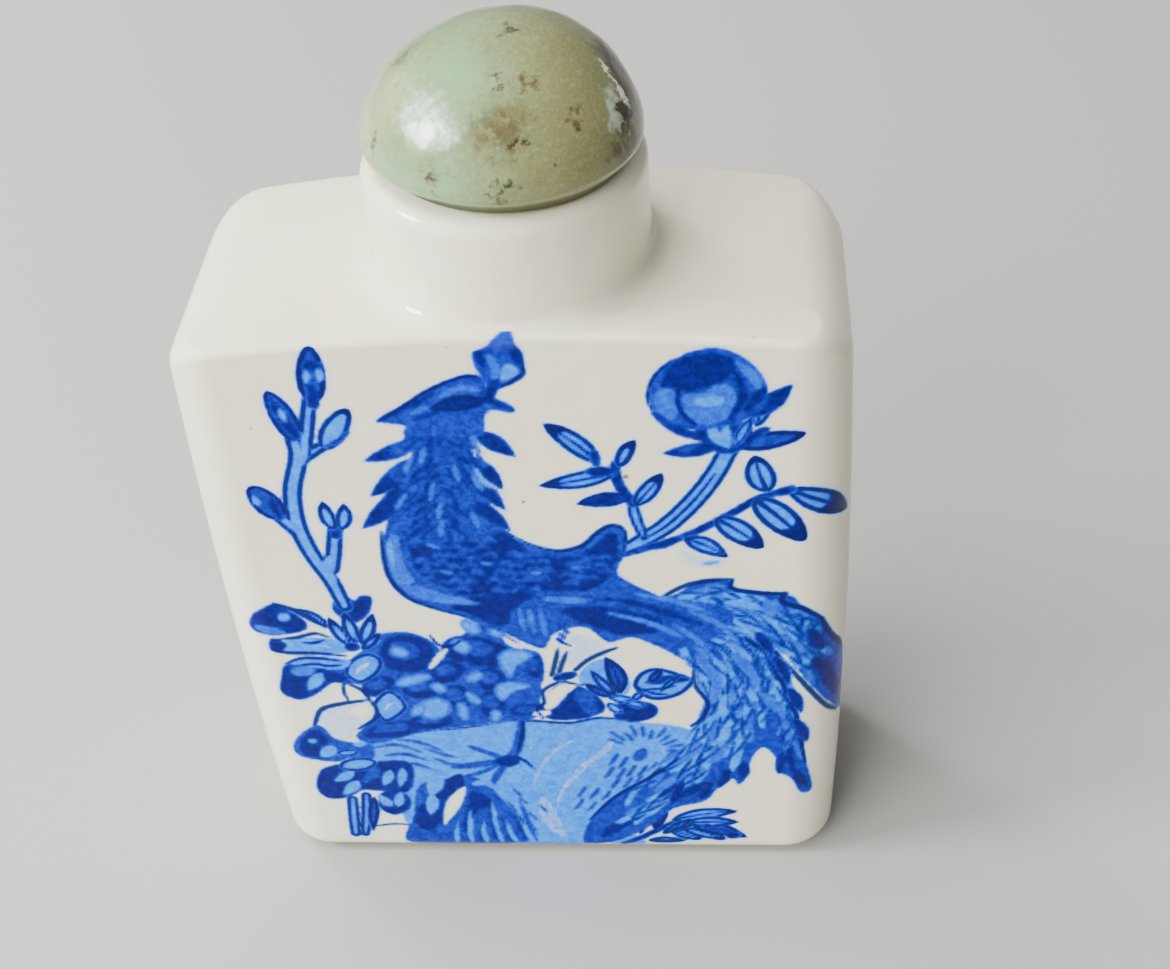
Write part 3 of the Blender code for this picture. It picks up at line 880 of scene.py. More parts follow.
            edged = points[0][0] < -120
            if not edged:
                self.shape([tuple(middle + 1.28 * (np.array(p) - middle)) for p in points], SOFT)
            self.shape(points, PALE, 3 if edged else 0)
        self.thin([(-136, 218), (-129, 227), (-122, 232)], 11, 0)
        self.thin([(-120, 175), (-115, 184), (-109, 188)], 9, 0)
        for points, width in (
            ([(-102, 209), (-92, 213), (-82, 216)], 6),
            ([(-76, 206), (-72, 202)], 6),
            ([(-59, 184), (-58, 170)], 4.2),
            ([(-33, 176), (-35, 168)], 4.4),
            ([(-101, 245), (-96, 242)], 7),
            ([(-54, 253), (-50, 246)], 8),
            ([(-46, 274), (-40, 266)], 7),
            ([(-27, 266), (-24, 263)], 5),
            ([(-49, 214), (-42, 219)], 5),
            ([(-90, 182), (-96, 174)], 5),
            ([(-52, 196), (-46, 188)], 4),
        ):
            self.stroke(points, width + 4.5, SOFT, (0.8, 0.6))
            self.stroke(points, width, PALE, (0.6, 0.4))
        self.stroke([(-77, 227), (-70, 238), (-63, 247)], 5.5, BARE, (0.7, 0.3))
        self.stroke([(-20, 259), (-14, 252), (-6, 248)], 5.5, BARE, (0.5, 0.3))
        self.line([(-74, 262), (-69, 252), (-60, 250), (-52, 256)], 3, (0.5, 0.5))
        stone = [(3, 172), (7, 196), (19, 209), (34, 205), (47, 192), (49, 178), (34, 169), (16, 167)]
        self.shape(stone, DEEP)
        self.shape([(29, 203), (40, 196), (44, 182), (38, 174), (30, 190)], MID)
        self.shape([(4, 180), (6, 196), (19, 209), (30, 206), (22, 197), (12, 182)], BARE)
        self.stroke([(-4, 174), (6, 176)], 7, BARE, (0.5, 0.8))
        self.stroke([(6, 206), (11, 213)], 8, BARE, (0.8, 0.5))
        self.line([(2, 170), (-2, 180), (4, 187), (4, 200), (14, 209), (20, 211), (34, 207)], 3, (0.6, 0.6))

    def left_leaves(self) -> None:
        """Paints the dark flower and two pale leaves at the left, and the cluster under the branch."""
        pale = [(-193, 249), (-180, 256), (-162, 259), (-142, 256), (-134, 246), (-148, 241), (-182, 242)]
        self.shape(pale, PALE)
        self.thin([(-176, 249), (-158, 250), (-144, 247)], 9)
        self.shape([(-196, 246), (-193, 257), (-185, 255), (-182, 249), (-189, 242)], DEEP)
        self.line([(-189, 256), (-172, 259), (-159, 263), (-148, 259)], 3.4, (0.5, 0.4))
        self.line([(-170, 253), (-161, 253), (-153, 256)], 3, (0.4, 0.3))
        self.line([(-194, 245), (-182, 242), (-162, 242), (-139, 239)], 3.6, (0.7, 0.4))
        self.shape([(-184, 230), (-172, 237), (-150, 237), (-137, 234), (-144, 225), (-178, 223)], PALE)
        self.line([(-186, 230), (-174, 236), (-158, 236), (-142, 233)], 3.2, (0.6, 0.4))
        self.line([(-179, 227), (-166, 230), (-154, 228), (-144, 229)], 3, (0.6, 0.4))
        blade = [(-196, 200), (-192, 216), (-187, 229), (-174, 228), (-152, 223), (-143, 219)]
        blade += [(-145, 209), (-154, 209), (-166, 198), (-179, 190), (-190, 192)]
        self.shape(blade, DEEP)
        self.shape([(-184, 222), (-176, 227), (-165, 224), (-169, 218), (-179, 217)], SOFT)
        self.leaf((-161, 220), (-174, 201), 10, PALE, None, 0, 0, 0.5)
        dark = [(-208, 266), (-203, 280), (-192, 290), (-183, 294), (-172, 286), (-163, 274), (-166, 266)]
        self.shape([*dark, (-180, 262), (-196, 261)], DEEP)
        self.stroke([(-202, 267), (-192, 266), (-182, 263)], 7, SOFT, (0.4, 0.4))
        self.oval((-179, 280), (9, 8), 20, PALE)
        self.leaf((-147, 269), (-174, 289), 10, PALE, None, 3.2, 0, -3)
        self.line([(-184, 294), (-172, 289), (-160, 281), (-150, 270)], 3.8, (0.7, 0.5))
        cluster = [(-141, 286), (-139, 298), (-129, 302), (-124, 298)]
        cluster += [(-119, 303), (-111, 301), (-116, 284), (-129, 274)]
        self.shape(cluster, DEEP)
        for base, tip, width, bend in (
            ((-134, 250), (-146, 280), 11, 1),
            ((-129, 252), (-134, 286), 11.5, 0),
            ((-126, 252), (-113, 284), 11.5, -1),
            ((-126, 246), (-110, 264), 9, 0),
        ):
            self.leaf(base, tip, width, PALE, MID, 3.4, 0, bend, start=0.7)
        self.oval((-133, 249), (12, 10), 0, DEEP)
        white = [(-175, 163), (-167, 178), (-152, 185), (-128, 188)]
        white += [(-126, 172), (-138, 158), (-150, 145), (-166, 144)]
        self.shape(white, FAINT)
        self.thin([(-162, 154), (-150, 168)], 6, 1)
        self.shape([(-146, 176), (-142, 184), (-131, 185), (-129, 174), (-138, 166)], BARE)
        self.line([(-176, 160), (-168, 178), (-152, 185), (-129, 190)], 4.2, (0.7, 0.4))
        self.line([(-146, 208), (-147, 198), (-145, 189)], 3, (0.8, 0.4))
        self.line([(-129, 190), (-125, 180), (-128, 168), (-142, 156)], 3.6, (0.6, 0.5))
        self.line([(-144, 209), (-134, 202), (-128, 190)], 3.4, (0.4, 0.7))

    def foot_leaves(self) -> None:
        """Paints the leaves and buds in the lower left corner."""
        leaves = [(-196, 124), (-195, 140), (-184, 154), (-172, 160), (-162, 144), (-146, 139), (-134, 136)]
        leaves += [(-136, 120), (-154, 120), (-170, 116)]
        self.shape(leaves, MID)
        self.shape([(-192, 125), (-192, 140), (-182, 152), (-172, 154), (-168, 138), (-174, 120)], DEEP)
        self.oval((-181, 141), (7, 6), 0, PALE)
        self.leaf((-164, 134), (-177, 122), 11, PALE, None, 0, 0, 0, blunt=0.6)
        self.oval((-155, 127), (18, 9), 8, PALE, 2.4)
        self.oval((-144, 138), (12, 6), 8, PALE, 0)
        self.stroke([(-160, 69), (-162, 48), (-164, 24)], 9.5, PALE, (0.9, 0.9), 3)
        self.stroke([(-148, 74), (-151, 50), (-156, 24)], 9, PALE, (0.9, 0.8), 3)
        self.leaf((-142, 72), (-149, 28), 9, MID, None, 3, 0, 0)
        flower = [(-174, 110), (-186, 90), (-184, 74), (-174, 69), (-162, 72), (-150, 80), (-138, 80)]
        flower += [(-112, 80), (-106, 114), (-130, 118)]
        self.shape(flower, DEEP)
        self.oval((-149, 113), (31, 16), 12, PALE, 2.8)
        for base, tip, width, tone in (
            ((-154, 104), (-170, 92), 9, PALE),
            ((-152, 92), (-166, 75), 10, PALE),
            ((-134, 109), (-146, 91), 9, MID),
            ((-124, 106), (-132, 87), 8, PALE),
            ((-114, 109), (-119, 86), 7, PALE),
            ((-86, 102), (-96, 74), 13, PALE),
            ((-94, 76), (-99, 50), 10, PALE),
        ):
            self.leaf(base, tip, width, tone, None, 0, 0, 0.6, blunt=0.7)
        bud = [(-140, 64), (-136, 76), (-126, 82), (-114, 74), (-114, 58), (-126, 49), (-136, 53)]
        self.shape(bud, DEEP)
        self.leaf((-129, 60), (-139, 75), 8, PALE, None, 0, 0, 0, blunt=0.6)
        self.leaf((-124, 60), (-120, 78), 7.5, PALE, None, 0, 0, 0, blunt=0.6)
        self.line([(-146, 34), (-130, 37), (-116, 36)], 2.4, (0.4, 0.2))

    def fan(self) -> None:
        """Paints the white fan under the belly with its hatching and its stem."""
        edge = [(8, 222), (10, 242), (17, 262), (26, 269), (42, 263)]
        edge += [(54, 249), (42, 238), (30, 228), (22, 220)]
        self.shape(edge, BARE)
        self.shape([(28, 260), (42, 259), (51, 249), (36, 234), (26, 232)], FAINT)
        self.line([(12, 218), (16, 234), (19, 248)], 3.6, (1.0, 0.3))
        self.line([(17, 218), (21, 232), (25, 244)], 3.6, (1.0, 0.3))
        self.hatch([(27, 264), (24, 259), (22, 254)], (-3.5, 4.5), 3)
        self.line([(19, 258), (24, 253), (29, 250)], 2.4, (0.5, 0.3))
        self.oval((22, 217), (20, 9), 20, DEEP)
        self.line([(30, 224), (40, 235), (52, 243), (62, 248)], 3.8, (0.9, 0.5))

    def right_leaves(self) -> None:
        """Paints the small flower and leaves right of the fan, and the spray in the lower right corner."""
        flower = [(32, 212), (36, 226), (50, 236), (64, 226), (70, 208), (64, 194), (50, 194), (40, 202)]
        self.shape(flower, PALE)
        self.leaf((62, 198), (53, 238), 15, MID, None, 3.6, 3, -2.5)
        self.leaf((59, 196), (41, 224), 9, PALE, None, 3.2, 0, 1)
        self.leaf((56, 194), (36, 209), 9, MID, DEEP, 2.8, 0, 1)
        disc = [(72, 206), (78, 221), (90, 226), (104, 221), (117, 212), (109, 198), (96, 191), (82, 192)]
        self.shape(disc, PALE, 3.4)
        self.leaf((80, 209), (116, 212), 10, DEEP, None, 0, 0, 2.5)
        self.leaf((84, 210), (94, 225), 8, MID, None, 2.8, 0, 0)
        self.leaf((92, 200), (107, 219), 6, PALE, None, 2.6, 0, 0)
        self.line([(75, 205), (86, 198), (98, 196)], 2.8, (0.7, 0.3))
        self.line([(80, 202), (92, 203), (104, 206)], 2.6, (0.5, 0.3))
        self.shape([(56, 170), (59, 186), (72, 190), (87, 185), (89, 174), (78, 166), (66, 166)], DEEP)
        for base, tip, width in (
            ((72, 190), (52, 194), 9),
            ((80, 184), (64, 189), 8),
            ((62, 176), (52, 187), 9),
            ((78, 199), (70, 190), 7),
        ):
            self.leaf(base, tip, width, PALE, None, 2.4, 0, 0.5, blunt=0.6)
        self.shape([(42, 13), (50, 30), (66, 24), (74, 11)], PALE)
        self.stroke([(56, 12), (72, 22), (88, 34), (102, 46)], 6, DEEP, (0.9, 0.5))
        for base, tip, width, tone, bend in (
            ((70, 26), (74, 60), 10, MID, 1),
            ((82, 32), (94, 64), 10, MID, 1),
            ((96, 44), (148, 56), 15, PALE, 2),
            ((76, 17), (106, 17), 9, PALE, 1),
            ((94, 32), (119, 19), 12, PALE, 0),
            ((102, 36), (139, 19), 14, PALE, 1),
            ((112, 36), (156, 22), 15, MID, 3),
            ((106, 40), (149, 42), 14, PALE, 1),
            ((88, 26), (112, 46), 9, PALE, 0),
        ):
            self.leaf(base, tip, width, tone, MID, 3.2, 2.8, bend, start=0.8, blunt=0.7)
        self.oval((145, 25), (14, 10), 0, DEEP)
        self.oval((124, 36), (9, 7), 0, DEEP)


@dataclass
class BackSprig(Brush):
    """A plainer sprig in the same hand for the back, which the photograph doesn't show."""

    rim: float = 5.0
    flower: Point = (0.0, 386.0)
    blades: int = 7

    def paint(self) -> None:
        """Paints a stem with leaves, a bud, an open flower and a few blades of grass."""
        self.stroke([(-72, 121), (-24, 118), (30, 121), (72, 119)], 9, PALE, (0.3, 0.3))
        self.stroke([(-26, 124), (-12, 190), (6, 250), (12, 310), (2, 360)], 11, MID, (0.9, 0.6))
        self.stroke([(7, 260), (30, 294), (47, 326)], 8, DEEP, (0.9, 0.6))
        self.stroke([(-10, 196), (-34, 232), (-47, 266)], 8, DEEP, (0.9, 0.6))
        for base, tip, width, bend in (
            ((9, 280), (-46, 314), 30, 4),
            ((4, 242), (66, 234), 30, 4),
            ((-4, 214), (54, 178), 29, 4),
            ((-16, 182), (-78, 188), 29, -4),
            ((-32, 230), (-90, 228), 26, -3),
            ((30, 294), (84, 280), 26, 3),
            ((-20, 150), (42, 140), 27, 3),
        ):
            self.leaf(base, tip, width, PALE, DEEP, self.rim, self.rim, bend, start=0.66, blunt=0.65)
        middle = self.flower
        self.oval(middle, (68, 62), 0, MID, self.rim)
        for turn in range(20, 380, 60):
            angle = math.radians(turn)
            tip = (middle[0] + 32 * math.cos(angle), middle[1] + 29 * math.sin(angle))
            self.leaf(middle, tip, 24, PALE, SOFT, 4.5, 0, 1, start=0.7, blunt=0.55)
        self.oval(middle, (19, 17), 0, DEEP)
        self.leaf((46, 322), (58, 368), 26, SOFT, DEEP, 5, 0, 0, start=0.6, blunt=0.5)
        self.leaf((-46, 262), (-59, 304), 24, PALE, DEEP, 5, 0, 0, start=0.6, blunt=0.5)
        for i in range(self.blades):
            x = -56 + 17 * i
            top = (x + 7 * math.sin(2.0 * i), 146 + 10 * math.cos(1.3 * i))
            self.leaf((x, 119), top, 10, (MID, DEEP)[i % 2], None, 0, 0, 1)


class Graph:
    """A node tree with short ways to add its nodes and join them."""

    def __init__(self, tree: bpy.types.NodeTree) -> None:
        """Takes the tree that the nodes go into."""
        self.tree = tree

    def add(self, kind: str, inputs: dict | None = None, **settings) -> bpy.types.Node:
        """Adds a node.

        Args:
            kind: The node's type, without its ShaderNode prefix if it has one.
            inputs: Values or sockets for its inputs, by name or number.
            settings: Values for its own properties.

        Returns:
            The node.
        """
        node = self.tree.nodes.new(kind if kind.startswith("NodeGroup") else "ShaderNode" + kind)
        for name, value in settings.items():
            setattr(node, name, value)
        for key, value in (inputs or {}).items():
            if isinstance(value, bpy.types.NodeSocket):
                self.tree.links.new(value, node.inputs[key])
            else:
                node.inputs[key].default_value = value
        return node

    def math(self, operation: str, first: Value, second: Value = 0.0) -> Socket:
        """Returns the outcome of one sum on sockets or numbers."""
        return self.add("Math", {0: first, 1: second, 2: 0.0}, operation=operation).outputs[0]

    def plus(self, first: Value, second: Value) -> Socket:
        """Returns two values added."""
        return self.math("ADD", first, second)

    def minus(self, first: Value, second: Value) -> Socket:
        """Returns one value less another."""
        return self.math("SUBTRACT", first, second)

    def times(self, first: Value, second: Value) -> Socket:
        """Returns two values multiplied."""
        return self.math("MULTIPLY", first, second)

    def tint(self, under: Shade, colour: Shade, mask: Socket, strength: float) -> Socket:
        """Returns a colour laid over another where a mask is, at some strength."""
        return self.mix(self.times(mask, strength), under, colour)

    def mix(self, factor: Value, first: Shade, second: Shade, mode: str = "MIX") -> Socket:
        """Returns one colour blended over another."""
        colours = {0: factor, 6: self.full(first), 7: self.full(second)}
        return self.add("Mix", colours, data_type="RGBA", blend_type=mode).outputs[2]

    @staticmethod
    def full(colour: Shade) -> Socket | tuple[float, ...]:
        """Returns a colour with its alpha, and a socket as it is."""
        return (*colour, 1.0) if isinstance(colour, tuple) else colour

    def noise(
        self, vector: Socket, scale: float, detail: float = 2.0, rough: float = 0.5, warp: float = 0.0
    ) -> Socket:
        """Returns a soft random value over the surface."""
        values = {"Vector": vector, "Scale": scale, "Detail": detail, "Roughness": rough, "Distortion": warp}
        return self.add("TexNoise", values).outputs[0]

    def step(self, value: Socket, low: float, high: float) -> Socket:
        """Returns a smooth rise from 0 at low to 1 at high, or a fall if low is the greater.

        Args:
            value: The value that it follows.
            low: Where it is 0.
            high: Where it is 1.

        Returns:
            The rise.
        """
        span = {"Value": value, "From Min": low, "From Max": high, "To Min": 0.0, "To Max": 1.0}
        if low > high:
            span.update({"From Min": high, "From Max": low, "To Min": 1.0, "To Max": 0.0})
        return self.add("MapRange", span, interpolation_type="SMOOTHSTEP").outputs[0]

    def attribute(self, name: str) -> Socket:
        """Returns a value painted on the piece's vertices."""
        return self.add("Attribute", attribute_name=name).outputs["Fac"]

    def place(self) -> Socket:
        """Returns the place on the piece in millimetres."""
        coordinates = self.add("TexCoord").outputs["Object"]
        return self.add("VectorMath", {0: coordinates, "Scale": 1000.0}, operation="SCALE").outputs[0]

    def uneven(self, place: Socket, scale: float, reach: float) -> Socket:
        """Pushes the place about at random, so that spots come out uneven.

        Args:
            place: The place.
            scale: How fine the unevenness is.
            reach: The farthest that a place is pushed.

        Returns:
            The pushed place.
        """
        colour = self.add("TexNoise", {"Vector": place, "Scale": scale, "Detail": 3.0}).outputs["Color"]
        centred = self.add("VectorMath", {0: colour, 1: (0.5, 0.5, 0.5)}, operation="SUBTRACT").outputs[0]
        pushed = self.add("VectorMath", {0: centred, "Scale": 2.0 * reach}, operation="SCALE").outputs[0]
        return self.add("VectorMath", {0: place, 1: pushed}, operation="ADD").outputs[0]

    def within(self, place: Socket, middle: Place, inner: float, outer: float) -> Socket:
        """Returns 1 near a point of the piece, falling to 0 at an outer distance."""
        distance = self.add("VectorMath", {0: place, 1: middle}, operation="DISTANCE").outputs["Value"]
        return self.step(distance, outer, inner)


def group_tree(name: str, inputs: dict[str, float], outputs: list[str]) -> tuple[bpy.types.NodeTree, Graph]:
    """Starts a shader node group.

    Args:
        name: The group's name.
        inputs: Its number inputs with their usual values. It has a place input besides.
        outputs: The names of the values that it puts out.

    Returns:
        The group's tree and a graph to fill it with.
    """
    tree = bpy.data.node_groups.new(name, "ShaderNodeTree")
    tree.interface.new_socket("Place", in_out="INPUT", socket_type="NodeSocketVector")
    for label, value in inputs.items():
        socket = tree.interface.new_socket(label, in_out="INPUT", socket_type="NodeSocketFloat")
        socket.default_value = value
    for label in outputs:
        tree.interface.new_socket(label, in_out="OUTPUT", socket_type="NodeSocketFloat")
    return tree, Graph(tree)


class SharedEffects:
    """The effects that the porcelain and the stone both use, each built once."""

    def __init__(self) -> None:
        """Builds the groups."""
        self.cloud = self.build_cloud()
        self.pits = self.build_pits()

    @staticmethod
    def build_cloud() -> bpy.types.NodeTree:
        """Builds a soft mottle.

        Returns:
            The group.
        """
        tree, graph = group_tree("mottle", {"Scale": 0.1, "Contrast": 1.0}, ["Mask"])
        start = graph.add("NodeGroupInput").outputs
        large = graph.noise(start["Place"], 1.0, 3.0, 0.55)
        tree.links.new(start["Scale"], large.node.inputs["Scale"])
        centred = graph.minus(large, 0.5)
        scaled = graph.times(centred, start["Contrast"])
        value = graph.plus(scaled, 0.5)
        clamp = graph.add("Clamp", {0: value}).outputs[0]
        graph.add("NodeGroupOutput", {"Mask": clamp})
        return tree

    @staticmethod
    def build_pits() -> bpy.types.NodeTree:
        """Builds sparse round pits, one to a cell and only in some of the cells.

        Returns:
            The group.
        """
        tree, graph = group_tree("pits", {"Scale": 0.16, "Radius": 0.03, "Share": 0.2}, ["Mask"])
        start = graph.add("NodeGroupInput").outputs
        cells = graph.add("TexVoronoi", {"Vector": start["Place"]})
        tree.links.new(start["Scale"], cells.inputs["Scale"])
        spot = graph.math("LESS_THAN", cells.outputs["Distance"], start["Radius"])
        tint = graph.add("SeparateColor", {0: cells.outputs["Color"]}).outputs[0]
        chosen = graph.math("LESS_THAN", tint, start["Share"])
        graph.add("NodeGroupOutput", {"Mask": graph.times(spot, chosen)})
        return tree

    @staticmethod
    def use(graph: Graph, tree: bpy.types.NodeTree, place: Socket, values: dict[str, float]) -> Socket:
        """Places one of the groups in a material.

        Args:
            graph: The material's graph.
            tree: The group.
            place: The place on the piece.
            values: The group's other inputs by name.

        Returns:
            The group's mask.
        """
        node = graph.tree.nodes.new("ShaderNodeGroup")
        node.node_tree = tree
        graph.tree.links.new(place, node.inputs["Place"])
        for name, value in values.items():
            node.inputs[name].default_value = value
        return node.outputs["Mask"]


def new_material(name: str) -> tuple[bpy.types.Material, Graph, bpy.types.Node]:
    """Starts a material.

    Args:
        name: Its name.

    Returns:
        The material, a graph for its tree and its shader.
    """
    material = bpy.data.materials.new(name)
    material.use_nodes = True
    return material, Graph(material.node_tree), material.node_tree.nodes["Principled BSDF"]


@dataclass(frozen=True)
class GlazedPorcelain:
    """Warm white glazed porcelain with underglaze blue, bare and matt under the foot."""

    glaze: Colour = (0.73, 0.69, 0.51)
    cool_glaze: Colour = (0.78, 0.77, 0.59)
    blush_glaze: Colour = (0.88, 0.84, 0.72)
    halo: Colour = (0.36, 0.56, 0.86)
    pale: tuple[Colour, Colour] = ((0.001, 0.170, 0.82), (0.020, 0.290, 0.93))
    soft: tuple[Colour, Colour] = ((0.001, 0.050, 0.56), (0.001, 0.120, 0.74))
    mid: tuple[Colour, Colour] = ((0.0005, 0.009, 0.25), (0.0005, 0.030, 0.47))
    deep: tuple[Colour, Colour] = ((0.0003, 0.001, 0.092), (0.0003, 0.003, 0.190))
    line: Colour = (0.001, 0.004, 0.065)
    bare_clay: Colour = (0.60, 0.48, 0.30)
    speck: Colour = (0.10, 0.05, 0.03)
    roughness: float = 0.10

    def build(self, effects: SharedEffects) -> bpy.types.Material:
        """Builds the material.

        Args:
            effects: The groups that it shares with the stone.

        Returns:
            The material.
        """
        material, graph, shader = new_material("underglaze_blue_porcelain")
        place = graph.place()
        colour = self.paint(graph, place, self.ground(graph, effects, place))
        pits = effects.use(graph, effects.pits, place, {"Scale": 0.11, "Radius": 0.022, "Share": 0.24})
        speck = graph.math("MAXIMUM", graph.step(graph.attribute("speck"), 0.05, -0.05), pits)
        colour = graph.tint(colour, self.speck, speck, 0.8)
        height = graph.add("SeparateXYZ", {0: place}).outputs[2]
        bare = graph.step(height, 0.32, 0.18)
        colour = graph.mix(bare, colour, self.bare_clay)
        rough = graph.plus(graph.times(bare, 0.55), self.roughness)
        self.join(graph, shader, place, colour, rough)
        return material

    def ground(self, graph: Graph, effects: SharedEffects, place: Socket) -> Socket:
        """Mixes the glaze's own colour, mottled and a little pink low on the left.

        Args:
            graph: The material's graph.
            effects: The groups that it shares with the stone.
            place: The place on the piece.

        Returns:
            The colour.
        """
        cloud = effects.use(graph, effects.cloud, place, {"Scale": 0.09, "Contrast": 1.6})
        colour = graph.mix(cloud, self.glaze, self.cool_glaze)
        blush = graph.within(place, (-20.0, -9.0, 6.0), 4.0, 30.0)
        return graph.tint(colour, self.blush_glaze, blush, 0.4)

    def paint(self, graph: Graph, place: Socket, ground: Socket) -> Socket:
        """Lays the picture's washes and lines over the glaze.

        Args:
            graph: The material's graph.
            place: The place on the piece.
            ground: The glaze's own colour.

        Returns:
            The colour.
        """
        fine = graph.times(graph.minus(graph.noise(place, 2.2, 3.0), 0.5), 0.22)
        broad = graph.times(graph.minus(graph.noise(place, 0.9, 4.0, 0.62), 0.5), 0.7)
        streak = graph.noise(place, 1.5, 4.0, 0.62, 0.8)
        wash = graph.plus(graph.attribute("wash"), fine)
        colour = graph.tint(ground, self.halo, graph.step(wash, 0.5, 0.0), 0.5)
        washes = (
            (wash, self.pale, 0.13, -0.13),
            (graph.plus(graph.attribute("soft"), fine), self.soft, 0.16, -0.18),
            (graph.plus(graph.attribute("mid"), fine), self.mid, 0.12, -0.20),
            (graph.plus(graph.attribute("deep"), broad), self.deep, 0.12, -0.32),
        )
        for value, (dense, thin), outer, inner in washes:
            shade = graph.mix(graph.step(streak, 0.34, 0.68), dense, thin)
            colour = graph.mix(graph.step(value, outer, inner), colour, shade)
        line = graph.plus(graph.attribute("line"), graph.times(fine, 0.5))
        soaked = graph.mix(graph.step(line, 0.15, 0.0), (1.0, 1.0, 1.0), (0.10, 0.30, 0.95))
        colour = graph.mix(1.0, colour, soaked, "MULTIPLY")
        return graph.tint(colour, self.line, graph.step(line, 0.05, -0.08), 0.92)

    @staticmethod
    def join(graph: Graph, shader: bpy.types.Node, place: Socket, colour: Socket, rough: Socket) -> None:
        """Joins the colour, the roughness and a faint waviness of the glaze to the shader.

        Args:
            graph: The material's graph.
            shader: Its shader.
            place: The place on the piece.
            colour: The colour.
            rough: The roughness.
        """
        ripple = graph.noise(place, 0.55, 2.0)
        bump = graph.add("Bump", {"Strength": 0.05, "Distance": 0.001, "Height": ripple})
        for name, value in (("Base Color", colour), ("Roughness", rough), ("Normal", bump.outputs[0])):
            graph.tree.links.new(value, shader.inputs[name])
        height = graph.add("SeparateXYZ", {0: place}).outputs[2]
        coat = graph.plus(graph.times(graph.step(height, 52.0, 53.2), 0.8), 0.08)
        graph.tree.links.new(coat, shader.inputs["Coat Weight"])
        shader.inputs["Coat Roughness"].default_value = 0.03
        shader.inputs["Specular IOR Level"].default_value = 0.10


